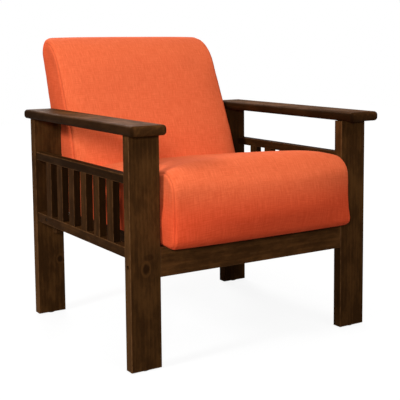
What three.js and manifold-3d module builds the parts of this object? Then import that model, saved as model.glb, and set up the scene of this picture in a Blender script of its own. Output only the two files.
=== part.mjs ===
// Armchair with slatted wooden side frames, a tight sprung seat and a reclined upholstered back.
// Millimetres, +Z up, -Y to the front. Left and right are as seen from the front.
// The origin is on the floor, at the centre of the chair's plan.

import * as THREE from 'three';
import { mergeVertices } from 'three/addons/utils/BufferGeometryUtils.js';
import Module from 'manifold-3d';

const wasm = await Module();
wasm.setup();

// Clearances
const joint_gap = 0.2;
const fit_gap = 0.3;
const overrun = 10;

// Legs: flat boards, wide face to the front
const frame_width = 704;
const leg_width = 80;
const leg_thickness = 28;
const leg_spacing = 562;
const leg_top_z = 554.5;
const leg_arris = 2;
const leg_tenon_width = 50;
const leg_tenon_thickness = 12;
const leg_tenon_length = 14;

// Foot glides: a disc with a nail
const glide_radius = 11;
const glide_face_radius = 9;
const glide_height = 3;
const glide_edge_height = 1;
const glide_nail_radius = 1.5;
const glide_nail_length = 16;

// Arm boards
const arm_width = 92;
const arm_thickness = 24.5;
const arm_outer_overhang = 12;
const arm_front_overhang = 41;
const arm_rear_overhang = 21;
const arm_edge_radius = 9;
const arm_corner_radius = 10;

// Side rails, tenoned into the legs
const side_rail_thickness = 23;
const side_rail_inset = 3.5;
const side_rail_arris = 1.5;
const upper_rail_height = 22;
const upper_rail_bottom_z = 441.5;
const lower_rail_height = 25;
const lower_rail_bottom_z = 269;
const rail_tenon_thickness = 11;
const rail_tenon_length = 14;
const rail_tenon_shoulder = 4;

// Slats, tenoned into the side rails
const slat_count = 6;
const slat_width = 32;
const slat_thickness = 19;
const slat_pitch = 74.3;
const slat_inset = 1;
const slat_arris = 1.2;
const slat_shoulder = 4;
const slat_tenon_length = 8;

// Front seat rail, between the front legs
const front_rail_height = 71;
const front_rail_bottom_z = 219;
const front_rail_thickness = 23;
const front_rail_recess = 1;
const front_rail_arris = 1.5;

// Rear seat rail, between the lower side rails
const rear_rail_height = 45;
const rear_rail_thickness = 24;
const rear_rail_setback = 59;

// Seat bearers, from the front seat rail to the rear one
const bearer_thickness = 22;
const bearer_height = 45;
const bearer_arris = 1;
const bearer_tenon_width = 12;
const bearer_tenon_height = 20;
const bearer_tenon_drop = 6;
const bearer_tenon_length = 7;

// Bolts along X, through a side frame into a cross rail
const bolt_radius = 3;
const bolt_head_radius = 5;
const bolt_head_height = 5;
const front_counterbore_depth = 12;
const front_bolt_length = 112;
const front_bolt_z = 250;
const rear_counterbore_depth = 7;
const rear_bolt_length = 40;
const barrel_nut_radius = 5;
const barrel_nut_length = 16;
const barrel_nut_inset = 30;
const insert_radius = 4.5;
const insert_length = 18;

// Screws up through the cross rails into the seat frame
const screw_radius = 2.5;
const screw_head_radius = 5;
const screw_head_height = 3;
const screw_grip = 34;
const screw_bite = 36;

// Seat frame: a box of boards under the seat cushion
const seat_board_thickness = 22;
const seat_board_height = 55;
const seat_spring_rail_setback = 28;
const dust_cover_thickness = 1;
const dust_cover_margin = 4;

// Seat cushion: tight block, higher at the front, crowned across
const seat_side_clearance = 6;
const seat_overhang = 51;
const seat_front_thickness = 184;
const seat_rear_thickness = 119;
const seat_top_radius = 52;
const seat_foot_radius = 7;
const seat_foot_edge_radius = 6;
const seat_foot_edge_start = 42;
const seat_foot_sag = 5;
const seat_hidden_radius = 14;
const seat_crown = 26;
const seat_front_crown = 6;
const seat_edge_radius = 13;
const seat_side_bulge = 2;
const seat_side_padding = 13;
const seat_front_padding = 16;
const seat_tuck = 30;

// Back cushion: reclined block, thicker at the foot
const back_recline_angle = 17.5;
const back_setback = 7;
const back_side_clearance = 1.4;
const back_side_bulge = 1;
const back_length = 505;
const back_foot_thickness = 110;
const back_waist_thickness = 83;
const back_taper_start = 190;
const back_taper_length = 235;
const back_top_thickness = 28;
const back_top_rear_radius = 14;
const back_top_radius = 30;
const back_brow_height = 52;
const back_brow_radius = 120;
const back_crown = 9;
const back_top_crown = 4;
const back_edge_radius = 12;
const back_corner_radius = 27;
const back_corner_reach = 110;
const back_rear_edge_radius = 4;
const back_rear_padding = 12;
const back_panel_thickness = 3;
const back_panel_margin = 11;

// Back frame: two stiles between the seat frame's side boards, and two rails
const stile_thickness = 22;
const stile_depth = 40;
const stile_length = 452;
const back_rail_thickness = 22;
const back_rail_height = 45;
const back_lower_rail_start = 92;

// Sinuous springs: one wire each, bent into bars and half turns
const spring_wire_radius = 1.9;
const spring_width = 50;
const seat_spring_arch = 6;
const seat_spring_bars = 14;
const seat_spring_count = 3;
const back_spring_arch = 3;
const back_spring_bars = 10;
const back_spring_count = 2;

// How a cushion's crown falls towards its sides
const crown_power = 2;
const side_ring_shares = [0.72, 0.4];

// Facet counts
const round_sides = 12;
const arris_steps = 2;
const arm_edge_steps = 4;
const wire_sides = 5;
const half_turn_steps = 4;
const top_corner_steps = 7;
const brow_steps = 4;
const small_corner_steps = 3;
const taper_steps = 2;
const middle_stations = 12;
const edge_stations = 4;

// Finishes
const stained_wood = { color: 0x3d2817, roughness: 0.55, metalness: 0 };
const frame_wood = { color: 0xc9a877, roughness: 0.8, metalness: 0 };
const linen = { color: 0xe2622f, roughness: 0.95, metalness: 0 };
const lining = { color: 0x1c1b1a, roughness: 1, metalness: 0 };
const steel = { color: 0x8b8b88, roughness: 0.4, metalness: 0.9 };
const nylon = { color: 0x2a2522, roughness: 0.6, metalness: 0 };

// Places that several pieces share
const half_width = frame_width / 2;
const leg_inner_x = half_width - leg_width;
const front_leg_y = -leg_spacing / 2;
const rear_leg_y = leg_spacing / 2;
const leg_foot_z = glide_height + joint_gap;
const rail_outer_x = half_width - side_rail_inset;
const rail_inner_x = rail_outer_x - side_rail_thickness;
const leg_centre_x = half_width - leg_width / 2;
const rail_centre_x = (rail_outer_x + rail_inner_x) / 2;
const rail_front_y = front_leg_y + leg_thickness + joint_gap;
const rail_rear_y = rear_leg_y - joint_gap;
const rail_length = rail_rear_y - rail_front_y;
const base_z = front_rail_bottom_z + front_rail_height + joint_gap;
const frame_bottom_z = base_z + dust_cover_thickness + joint_gap;
const frame_top_z = frame_bottom_z + seat_board_height;
const rear_rail_y = rear_leg_y - rear_rail_setback;
const front_rail_y = front_leg_y + front_rail_recess + front_rail_thickness / 2;
const rear_bolt_z = lower_rail_bottom_z + lower_rail_height / 2;
const recline = THREE.MathUtils.degToRad(back_recline_angle);
const back_foot_y = rear_leg_y - back_setback;
const seat_half_width = leg_inner_x - seat_side_clearance;
const back_half_width = leg_inner_x - back_side_clearance;
const seat_front_y = front_leg_y - seat_overhang;
const seat_frame_half_width = seat_half_width - seat_side_padding;
const seat_frame_front_y = seat_front_y + seat_front_padding;
const seat_frame_rear_y = back_foot_y - back_rear_padding;
const seat_frame_inner_x = seat_frame_half_width - seat_board_thickness;
const back_foot_front_y = back_foot_y - back_foot_thickness / Math.cos(recline);
const spring_rail_y = back_foot_front_y - seat_spring_rail_setback;
const stile_outer_x = seat_frame_inner_x - joint_gap;
const stile_inner_x = stile_outer_x - stile_thickness;
const stile_rear_t = back_panel_thickness + fit_gap;
const spring_height = 2 * (spring_wire_radius + fit_gap);

// A point of the reclined back: s runs up along its rear face, t runs forward from it
function backPoint(s, t) {
  return {
    y: back_foot_y + s * Math.sin(recline) - t * Math.cos(recline),
    z: base_z + s * Math.cos(recline) + t * Math.sin(recline),
  };
}

// Solids and cuts

function solidOf(geometry) {
  const bare = geometry.clone();
  bare.deleteAttribute('normal');
  bare.deleteAttribute('uv');
  const merged = mergeVertices(bare);
  return new wasm.Manifold(new wasm.Mesh({
    numProp: 3,
    vertProperties: new Float32Array(merged.attributes.position.array),
    triVerts: new Uint32Array(merged.index.array),
  }));
}

function geometryOf(solid) {
  const mesh = solid.getMesh();
  const geometry = new THREE.BufferGeometry();
  geometry.setAttribute('position', new THREE.BufferAttribute(mesh.vertProperties, mesh.numProp));
  geometry.setIndex(new THREE.BufferAttribute(mesh.triVerts, 1));
  geometry.computeVertexNormals();
  return geometry;
}

function cut(geometry, tools) {
  return geometryOf(tools.reduce((solid, tool) => solid.subtract(solidOf(tool)), solidOf(geometry)));
}

function join(geometry, others) {
  return geometryOf(others.reduce((solid, other) => solid.add(solidOf(other)), solidOf(geometry)));
}

// A box between two corners, given as [x, y, z]
function boxBetween(low, high) {
  const size = high.map((value, i) => value - low[i]);
  const box = new THREE.BoxGeometry(...size);
  return box.translate(...low.map((value, i) => value + size[i] / 2));
}

// A board of width by depth with eased arrises, standing on z = 0 and centred on the Z axis
function easedBoard(width, depth, length, arris) {
  const outline = new THREE.Shape();
  const x = width / 2;
  const y = depth / 2;
  outline.moveTo(x - arris, -y);
  outline.absarc(x - arris, -y + arris, arris, -Math.PI / 2, 0, false);
  outline.absarc(x - arris, y - arris, arris, 0, Math.PI / 2, false);
  outline.absarc(-x + arris, y - arris, arris, Math.PI / 2, Math.PI, false);
  outline.absarc(-x + arris, -y + arris, arris, Math.PI, Math.PI * 1.5, false);
  return new THREE.ExtrudeGeometry(outline, { depth: length, bevelEnabled: false, curveSegments: arris_steps });
}

// Lays a standing board down, so that it runs along X or along Y from the origin
const alongX = (geometry) => geometry.rotateY(Math.PI / 2);
const alongY = (geometry) => geometry.rotateX(-Math.PI / 2);

// A round bar on the Z axis from z = from to z = to
function roundBar(radius, from, to) {
  const bar = new THREE.CylinderGeometry(radius, radius, to - from, round_sides);
  return bar.rotateX(Math.PI / 2).translate(0, 0, (from + to) / 2);
}

function turned(profile) {
  const points = profile.map(([r, z]) => new THREE.Vector2(r, z));
  return new THREE.LatheGeometry(points, round_sides).rotateX(Math.PI / 2);
}

function add(parent, name, geometry, finish, x = 0, y = 0, z = 0) {
  const mesh = new THREE.Mesh(geometry, new THREE.MeshStandardMaterial(finish));
  mesh.name = name;
  mesh.position.set(x, y, z);
  parent.add(mesh);
  return mesh;
}

// Legs

function legGeometry(isFront, side) {
  const length = leg_top_z - leg_foot_z;
  const tenon = boxBetween(
    [-leg_tenon_width / 2, -leg_tenon_thickness / 2, length - overrun],
    [leg_tenon_width / 2, leg_tenon_thickness / 2, length + leg_tenon_length],
  );
  const leg = join(easedBoard(leg_width, leg_thickness, length, leg_arris), [tenon]);
  const inward = isFront ? 1 : -1;
  const mortise = (rail_bottom_z, rail_height) => {
    const x = side * (rail_centre_x - leg_centre_x);
    const half = rail_tenon_thickness / 2 + fit_gap;
    const face = inward * leg_thickness / 2;
    const floor = face - inward * (rail_tenon_length + fit_gap);
    const mouth = face + inward * overrun;
    const shoulder = rail_tenon_shoulder - fit_gap;
    return boxBetween(
      [x - half, Math.min(floor, mouth), rail_bottom_z - leg_foot_z + shoulder],
      [x + half, Math.max(floor, mouth), rail_bottom_z - leg_foot_z + rail_height - shoulder],
    );
  };
  const tools = [
    mortise(upper_rail_bottom_z, upper_rail_height),
    mortise(lower_rail_bottom_z, lower_rail_height),
    roundBar(glide_nail_radius + fit_gap, -overrun, glide_nail_length),
  ];
  if (isFront) {
    const bore = roundBar(bolt_radius + fit_gap, -leg_width, leg_width).rotateY(Math.PI / 2);
    const counterbore = roundBar(
      bolt_head_radius + fit_gap,
      leg_width / 2 - front_counterbore_depth,
      leg_width / 2 + overrun,
    ).rotateY(side * Math.PI / 2);
    const bolt_y = front_rail_y - (front_leg_y + leg_thickness / 2);
    tools.push(bore.translate(0, bolt_y, front_bolt_z - leg_foot_z));
    tools.push(counterbore.translate(0, bolt_y, front_bolt_z - leg_foot_z));
  }
  return cut(leg, tools);
}

function glideGeometry() {
  return turned([
    [0, 0],
    [glide_face_radius, 0],
    [glide_radius, glide_edge_height],
    [glide_radius, glide_height],
    [glide_nail_radius, glide_height],
    [glide_nail_radius, glide_nail_length],
    [0, glide_nail_length],
  ]);
}

// Arms

function armGeometry(side) {
  const length = arm_front_overhang + leg_spacing + leg_thickness + arm_rear_overhang;
  const x = arm_width / 2 - arm_edge_radius;
  const y = length / 2 - arm_edge_radius;
  const r = arm_corner_radius - arm_edge_radius;
  const plan = new THREE.Shape();
  plan.moveTo(x - r, -y);
  plan.absarc(x - r, -y + r, r, -Math.PI / 2, 0, false);
  plan.absarc(x - r, y - r, r, 0, Math.PI / 2, false);
  plan.absarc(-x + r, y - r, r, Math.PI / 2, Math.PI, false);
  plan.absarc(-x + r, -y + r, r, Math.PI, Math.PI * 1.5, false);
  const board = new THREE.ExtrudeGeometry(plan, {
    depth: arm_thickness - 2 * arm_edge_radius,
    bevelThickness: arm_edge_radius,
    bevelSize: arm_edge_radius,
    bevelSegments: arm_edge_steps,
    curveSegments: arm_edge_steps,
  }).translate(0, 0, arm_edge_radius);
  const leg_x = side * (leg_centre_x - armCentreX());
  const leg_ys = [front_leg_y, rear_leg_y].map((face_y) => face_y + leg_thickness / 2 - armCentreY());
  const mortises = leg_ys.map((leg_y) => boxBetween(
    [leg_x - leg_tenon_width / 2 - fit_gap, leg_y - leg_tenon_thickness / 2 - fit_gap, -overrun],
    [leg_x + leg_tenon_width / 2 + fit_gap, leg_y + leg_tenon_thickness / 2 + fit_gap, leg_tenon_length],
  ));
  return cut(board, mortises);
}

function armCentreX() {
  return half_width + arm_outer_overhang - arm_width / 2;
}

function armCentreY() {
  return (leg_thickness + arm_rear_overhang - arm_front_overhang) / 2;
}

// Side rails and slats

function slatCentreY(index) {
  const middle = (rail_front_y + rail_rear_y) / 2;
  return middle + (index - (slat_count - 1) / 2) * slat_pitch;
}

function sideRailGeometry(isUpper, side) {
  const height = isUpper ? upper_rail_height : lower_rail_height;
  const board = alongY(easedBoard(side_rail_thickness, height, rail_length, side_rail_arris));
  const reach = rail_tenon_length + joint_gap;
  const tenon = boxBetween(
    [-rail_tenon_thickness / 2, -reach, -height / 2 + rail_tenon_shoulder],
    [rail_tenon_thickness / 2, rail_length + reach, height / 2 - rail_tenon_shoulder],
  );
  const rail = join(board, [tenon]);
  const slat_x = side * (slatCentreX() - rail_centre_x);
  const half_x = slat_thickness / 2 - slat_shoulder + fit_gap;
  const half_y = slat_width / 2 - slat_shoulder + fit_gap;
  const face = isUpper ? -height / 2 : height / 2;
  const inward = isUpper ? 1 : -1;
  const floor = face + inward * (slat_tenon_length + fit_gap);
  const mouth = face - inward * overrun;
  const tools = [];
  for (let i = 0; i < slat_count; i += 1) {
    const y = slatCentreY(i) - rail_front_y;
    tools.push(boxBetween(
      [slat_x - half_x, y - half_y, Math.min(floor, mouth)],
      [slat_x + half_x, y + half_y, Math.max(floor, mouth)],
    ));
  }
  if (!isUpper) {
    const bolt_y = rear_rail_y - rail_front_y;
    const reach_x = side_rail_thickness / 2;
    tools.push(roundBar(bolt_radius + fit_gap, -side_rail_thickness, side_rail_thickness)
      .rotateY(Math.PI / 2).translate(0, bolt_y, 0));
    tools.push(roundBar(bolt_head_radius + fit_gap, reach_x - rear_counterbore_depth, reach_x + overrun)
      .rotateY(side * Math.PI / 2).translate(0, bolt_y, 0));
  }
  return cut(rail, tools);
}

function slatCentreX() {
  return rail_outer_x - slat_inset - slat_thickness / 2;
}

function slatGeometry() {
  const length = upper_rail_bottom_z - (lower_rail_bottom_z + lower_rail_height) - 2 * joint_gap;
  const board = easedBoard(slat_thickness, slat_width, length, slat_arris);
  const reach = slat_tenon_length + joint_gap;
  const half_x = slat_thickness / 2 - slat_shoulder;
  const half_y = slat_width / 2 - slat_shoulder;
  return join(board, [boxBetween([-half_x, -half_y, -reach], [half_x, half_y, length + reach])]);
}

// One side frame: two legs with glides, an arm, two rails and the slats. side is -1 left, +1 right

function sideFrame(side) {
  const word = side < 0 ? 'left' : 'right';
  const frame = new THREE.Group();
  for (const isFront of [true, false]) {
    const place = isFront ? 'front' : 'rear';
    const y = (isFront ? front_leg_y : rear_leg_y) + leg_thickness / 2;
    add(frame, `${word}_${place}_leg`, legGeometry(isFront, side), stained_wood, side * leg_centre_x, y, leg_foot_z);
    add(frame, `${word}_${place}_glide`, glideGeometry(), nylon, side * leg_centre_x, y, 0);
  }
  add(frame, `${word}_arm`, armGeometry(side), stained_wood,
    side * armCentreX(), armCentreY(), leg_top_z + joint_gap);
  add(frame, `${word}_upper_rail`, sideRailGeometry(true, side), stained_wood,
    side * rail_centre_x, rail_front_y, upper_rail_bottom_z + upper_rail_height / 2);
  add(frame, `${word}_lower_rail`, sideRailGeometry(false, side), stained_wood,
    side * rail_centre_x, rail_front_y, lower_rail_bottom_z + lower_rail_height / 2);
  const slat_bottom_z = lower_rail_bottom_z + lower_rail_height + joint_gap;
  for (let i = 0; i < slat_count; i += 1) {
    add(frame, `${word}_slat_${i + 1}`, slatGeometry(), stained_wood,
      side * slatCentreX(), slatCentreY(i), slat_bottom_z);
  }
  return frame;
}

// Cross rails and the bolts that hold them between the side frames

function screwHoleTools(rail_height, x_places) {
  const head_top = rail_height / 2 - screw_grip + screw_head_height;
  return x_places.flatMap((x) => [
    roundBar(screw_radius + fit_gap, -rail_height, rail_height).translate(x, 0, 0),
    roundBar(screw_head_radius + fit_gap, -rail_height, head_top + fit_gap).translate(x, 0, 0),
  ]);
}

function screwX() {
  return seat_frame_half_width - seat_board_thickness / 2;
}

// Mortises for the bearers' tenons, in a cross rail face that looks towards facing (+1 to the rear, -1 to the front)
function bearerMortiseTools(rail_thickness, centre_z, facing) {
  const half_x = bearer_tenon_width / 2 + fit_gap;
  const top = base_z - joint_gap - bearer_tenon_drop + fit_gap - centre_z;
  const face = (facing * rail_thickness) / 2;
  const floor = face - facing * (bearer_tenon_length + fit_gap);
  const mouth = face + facing * overrun;
  return [-screwX(), screwX()].map((x) => boxBetween(
    [x - half_x, Math.min(floor, mouth), top - bearer_tenon_height - 2 * fit_gap],
    [x + half_x, Math.max(floor, mouth), top],
  ));
}

function frontRailGeometry() {
  const half = leg_inner_x - joint_gap;
  const board = alongX(easedBoard(front_rail_height, front_rail_thickness, 2 * half, front_rail_arris))
    .translate(-half, 0, 0);
  const bolt_z = front_bolt_z - (front_rail_bottom_z + front_rail_height / 2);
  const bolt_end = half_width - front_counterbore_depth + bolt_head_height - front_bolt_length;
  const tools = screwHoleTools(front_rail_height, [-screwX(), screwX()]);
  tools.push(...bearerMortiseTools(front_rail_thickness, front_rail_bottom_z + front_rail_height / 2, 1));
  for (const side of [-1, 1]) {
    tools.push(roundBar(bolt_radius + fit_gap, bolt_end - fit_gap, half + overrun)
      .rotateY(side * Math.PI / 2).translate(0, 0, bolt_z));
    tools.push(roundBar(barrel_nut_radius + fit_gap, -barrel_nut_length / 2 - fit_gap, front_rail_thickness)
      .rotateX(-Math.PI / 2).translate(side * (half - barrel_nut_inset), 0, bolt_z));
  }
  return cut(board, tools);
}

function rearRailHalfLength() {
  return rail_inner_x - joint_gap;
}

function rearRailGeometry() {
  const half = rearRailHalfLength();
  const board = alongX(easedBoard(rear_rail_height, rear_rail_thickness, 2 * half, front_rail_arris))
    .translate(-half, 0, 0);
  const centre_z = base_z - joint_gap - rear_rail_height / 2;
  const tools = screwHoleTools(rear_rail_height, [-screwX(), screwX()]);
  tools.push(...bearerMortiseTools(rear_rail_thickness, centre_z, -1));
  const bolt_end = rail_outer_x - rear_counterbore_depth + bolt_head_height - rear_bolt_length;
  for (const side of [-1, 1]) {
    tools.push(roundBar(insert_radius + fit_gap, half - insert_length - fit_gap, half + overrun)
      .rotateY(side * Math.PI / 2).translate(0, 0, rear_bolt_z - centre_z));
    tools.push(roundBar(bolt_radius + fit_gap, bolt_end - fit_gap, half + overrun)
      .rotateY(side * Math.PI / 2).translate(0, 0, rear_bolt_z - centre_z));
  }
  return cut(board, tools);
}

// A bearer lies along Y, its front shoulder at y = 0 and its top at z = 0
function bearerLength() {
  return rear_rail_y - rear_rail_thickness / 2 - (front_rail_y + front_rail_thickness / 2) - 2 * joint_gap;
}

function bearerGeometry() {
  const length = bearerLength();
  const board = alongY(easedBoard(bearer_thickness, bearer_height, length, bearer_arris))
    .translate(0, 0, -bearer_height / 2);
  const reach = bearer_tenon_length + joint_gap;
  const tenon = boxBetween(
    [-bearer_tenon_width / 2, -reach, -bearer_tenon_drop - bearer_tenon_height],
    [bearer_tenon_width / 2, length + reach, -bearer_tenon_drop],
  );
  return join(board, [tenon]);
}

// A bolt with its head towards +Z and the head's top at z = 0
function boltGeometry(length) {
  return turned([
    [0, -length],
    [bolt_radius, -length],
    [bolt_radius, -bolt_head_height],
    [bolt_head_radius, -bolt_head_height],
    [bolt_head_radius, 0],
    [0, 0],
  ]);
}

function barrelNutGeometry() {
  const nut = roundBar(barrel_nut_radius, -barrel_nut_length / 2, barrel_nut_length / 2).rotateX(Math.PI / 2);
  const bore = roundBar(bolt_radius + fit_gap, -barrel_nut_length, barrel_nut_length).rotateY(Math.PI / 2);
  return cut(nut, [bore]);
}

function insertGeometry() {
  const sleeve = roundBar(insert_radius, 0, insert_length).rotateY(Math.PI / 2);
  return cut(sleeve, [roundBar(bolt_radius + fit_gap, -overrun, insert_length + overrun).rotateY(Math.PI / 2)]);
}

function crossRails() {
  const group = new THREE.Group();
  add(group, 'front_seat_rail', frontRailGeometry(), stained_wood,
    0, front_rail_y, front_rail_bottom_z + front_rail_height / 2);
  add(group, 'rear_seat_rail', rearRailGeometry(), stained_wood,
    0, rear_rail_y, base_z - joint_gap - rear_rail_height / 2);
  for (const side of [-1, 1]) {
    const word = side < 0 ? 'left' : 'right';
    add(group, `${word}_seat_bearer`, bearerGeometry(), stained_wood,
      side * screwX(), front_rail_y + front_rail_thickness / 2 + joint_gap, base_z - joint_gap);
    const front_head_x = half_width - front_counterbore_depth + bolt_head_height;
    const rear_head_x = rail_outer_x - rear_counterbore_depth + bolt_head_height;
    const nut_x = leg_inner_x - joint_gap - barrel_nut_inset;
    const insert_x = side < 0 ? -rearRailHalfLength() : rearRailHalfLength() - insert_length;
    add(group, `${word}_front_bolt`, boltGeometry(front_bolt_length).rotateY(side * Math.PI / 2), steel,
      side * front_head_x, front_rail_y, front_bolt_z);
    add(group, `${word}_barrel_nut`, barrelNutGeometry(), steel, side * nut_x, front_rail_y, front_bolt_z);
    add(group, `${word}_rear_bolt`, boltGeometry(rear_bolt_length).rotateY(side * Math.PI / 2), steel,
      side * rear_head_x, rear_rail_y, rear_bolt_z);
    add(group, `${word}_rear_insert`, insertGeometry(), steel, insert_x, rear_rail_y, rear_bolt_z);
  }
  return group;
}

// Seat frame, its screws and its springs

function screwLength() {
  return screw_grip + joint_gap + dust_cover_thickness + joint_gap + screw_bite;
}

function screwGeometry() {
  return turned([
    [0, 0],
    [screw_head_radius, 0],
    [screw_radius, screw_head_height],
    [screw_radius, screwLength()],
    [0, screwLength()],
  ]);
}

function seatSideBoardGeometry() {
  const length = seat_frame_rear_y - seat_frame_front_y;
  const board = boxBetween(
    [-seat_board_thickness / 2, 0, 0],
    [seat_board_thickness / 2, length, seat_board_height],
  );
  const tools = [front_rail_y, rear_rail_y].map((y) => roundBar(screw_radius + fit_gap, -overrun, screw_bite + fit_gap)
    .translate(0, y - seat_frame_front_y, 0));
  return cut(board, tools);
}

function seatCrossBoardGeometry(half) {
  return boxBetween([-half, 0, 0], [half, seat_board_thickness, seat_board_height]);
}

function dustCoverGeometry() {
  const x = seat_frame_half_width - dust_cover_margin;
  const sheet = boxBetween(
    [-x, seat_frame_front_y + dust_cover_margin, 0],
    [x, seat_frame_rear_y - dust_cover_margin, dust_cover_thickness],
  );
  const tools = [-screwX(), screwX()].flatMap((place_x) => [front_rail_y, rear_rail_y]
    .map((y) => roundBar(screw_radius + fit_gap, -overrun, overrun).translate(place_x, y, 0)));
  return cut(sheet, tools);
}

// A wire swept along points that lie close to one plane, whose normal is up
function wireGeometry(points, up) {
  const positions = [];
  const faces = [];
  points.forEach((point, i) => {
    const before = points[Math.max(i - 1, 0)];
    const after = points[Math.min(i + 1, points.length - 1)];
    const along = after.clone().sub(before).normalize();
    const across = up.clone().cross(along).normalize();
    const over = along.clone().cross(across);
    for (let k = 0; k < wire_sides; k += 1) {
      const angle = (k / wire_sides) * 2 * Math.PI - Math.PI / 2;
      positions.push(point.clone()
        .addScaledVector(across, spring_wire_radius * Math.cos(angle))
        .addScaledVector(over, spring_wire_radius * Math.sin(angle)));
    }
  });
  const last = (points.length - 1) * wire_sides;
  for (let k = 0; k < wire_sides; k += 1) {
    const next = (k + 1) % wire_sides;
    for (let i = 0; i < last; i += wire_sides) {
      faces.push(i + k, i + next, i + wire_sides + next, i + k, i + wire_sides + next, i + wire_sides + k);
    }
  }
  for (let k = 1; k < wire_sides - 1; k += 1) {
    faces.push(0, k + 1, k, last, last + k, last + k + 1);
  }
  const geometry = new THREE.BufferGeometry().setFromPoints(positions);
  geometry.setIndex(faces);
  geometry.computeVertexNormals();
  return geometry;
}

// A sinuous spring from y = 0 to y = length, its ends at z = 0, bowed up by arch between them
function springGeometry(length, bars, arch) {
  const pitch = length / (bars - 1);
  const turn = pitch / 2;
  const reach = spring_width / 2 - turn;
  const points = [];
  const place = (x, y) => {
    const share = (2 * y) / length - 1;
    points.push(new THREE.Vector3(x, y, arch * (1 - share * share)));
  };
  for (let i = 0; i < bars; i += 1) {
    const side = i % 2 ? -1 : 1;
    place(-side * reach, i * pitch);
    if (i === bars - 1) {
      place(side * reach, i * pitch);
      break;
    }
    for (let k = 0; k < half_turn_steps; k += 1) {
      const angle = (k / half_turn_steps) * Math.PI;
      place(side * (reach + turn * Math.sin(angle)), i * pitch + turn * (1 - Math.cos(angle)));
    }
  }
  return wireGeometry(points, new THREE.Vector3(0, 0, 1));
}

// Places of like pieces spread evenly between the two sides
function spreadX(count, half) {
  return Array.from({ length: count }, (_, i) => ((2 * i + 1) / count - 1) * half);
}

function seatFrame() {
  const group = new THREE.Group();
  for (const side of [-1, 1]) {
    const word = side < 0 ? 'left' : 'right';
    add(group, `seat_frame_${word}`, seatSideBoardGeometry(), frame_wood,
      side * screwX(), seat_frame_front_y, frame_bottom_z);
    const front_z = base_z - joint_gap - screw_grip;
    add(group, `seat_screw_front_${word}`, screwGeometry(), steel, side * screwX(), front_rail_y, front_z);
    add(group, `seat_screw_rear_${word}`, screwGeometry(), steel, side * screwX(), rear_rail_y, front_z);
  }
  const inner = seat_frame_inner_x - joint_gap;
  add(group, 'seat_frame_front', seatCrossBoardGeometry(inner), frame_wood, 0, seat_frame_front_y, frame_bottom_z);
  add(group, 'seat_spring_rail', seatCrossBoardGeometry(inner), frame_wood,
    0, spring_rail_y - seat_board_thickness / 2, frame_bottom_z);
  add(group, 'seat_frame_rear', seatCrossBoardGeometry(stile_inner_x - joint_gap), frame_wood,
    0, seat_frame_rear_y - seat_board_thickness, frame_bottom_z);
  add(group, 'seat_dust_cover', dustCoverGeometry(), lining, 0, 0, base_z);
  const spring_start = seat_frame_front_y + seat_board_thickness / 2;
  spreadX(seat_spring_count, inner).forEach((x, i) => {
    add(group, `seat_spring_${i + 1}`, springGeometry(spring_rail_y - spring_start, seat_spring_bars, seat_spring_arch),
      steel, x, spring_start, frame_top_z + spring_wire_radius + fit_gap);
  });
  return group;
}

// Back frame: stiles cut level at the foot, two rails between them and the springs on the rails

function stileGeometry() {
  const front_t = stile_rear_t + stile_depth;
  const footShare = (t) => (frame_bottom_z - base_z - t * Math.sin(recline)) / Math.cos(recline);
  const corners = [
    backPoint(footShare(stile_rear_t), stile_rear_t),
    backPoint(footShare(front_t), front_t),
    backPoint(stile_length, front_t),
    backPoint(stile_length, stile_rear_t),
  ];
  const side = new THREE.Shape(corners.map(({ y, z }) => new THREE.Vector2(y, z)));
  const stile = new THREE.ExtrudeGeometry(side, { depth: stile_thickness, bevelEnabled: false });
  return stile.rotateY(Math.PI / 2).rotateX(Math.PI / 2);
}

function backFrame() {
  const group = new THREE.Group();
  add(group, 'back_left_stile', stileGeometry(), frame_wood, -stile_outer_x, 0, 0);
  add(group, 'back_right_stile', stileGeometry(), frame_wood, stile_inner_x, 0, 0);

  // Inside this group, z runs up along the rear face and -y runs forward from it
  const leaning = new THREE.Group();
  leaning.position.set(0, back_foot_y, base_z);
  leaning.rotation.x = -recline;
  group.add(leaning);
  const half = stile_inner_x - joint_gap;
  const rail = () => boxBetween([-half, -back_rail_thickness, 0], [half, 0, back_rail_height]);
  const top_rail_s = stile_length - back_rail_height;
  add(leaning, 'back_top_rail', rail(), frame_wood, 0, -stile_rear_t, top_rail_s);
  add(leaning, 'back_lower_rail', rail(), frame_wood, 0, -stile_rear_t, back_lower_rail_start);
  const spring_start = back_lower_rail_start + back_rail_height / 2;
  const spring_end = top_rail_s + back_rail_height / 2;
  const spring_t = stile_rear_t + back_rail_thickness + fit_gap + spring_wire_radius;
  spreadX(back_spring_count, half).forEach((x, i) => {
    const spring = springGeometry(spring_end - spring_start, back_spring_bars, back_spring_arch);
    add(leaning, `back_spring_${i + 1}`, spring.rotateX(Math.PI / 2), steel, x, -spring_t, spring_start);
  });
  return group;
}

// Cushions. A side outline is a polygon of corners { y, z, r }, each rounded by its radius. Each stretch
// from one corner to the next has a crown, by which it stands proud at mid width, and an edge radius,
// by which it rounds over into the boxed side.

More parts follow.
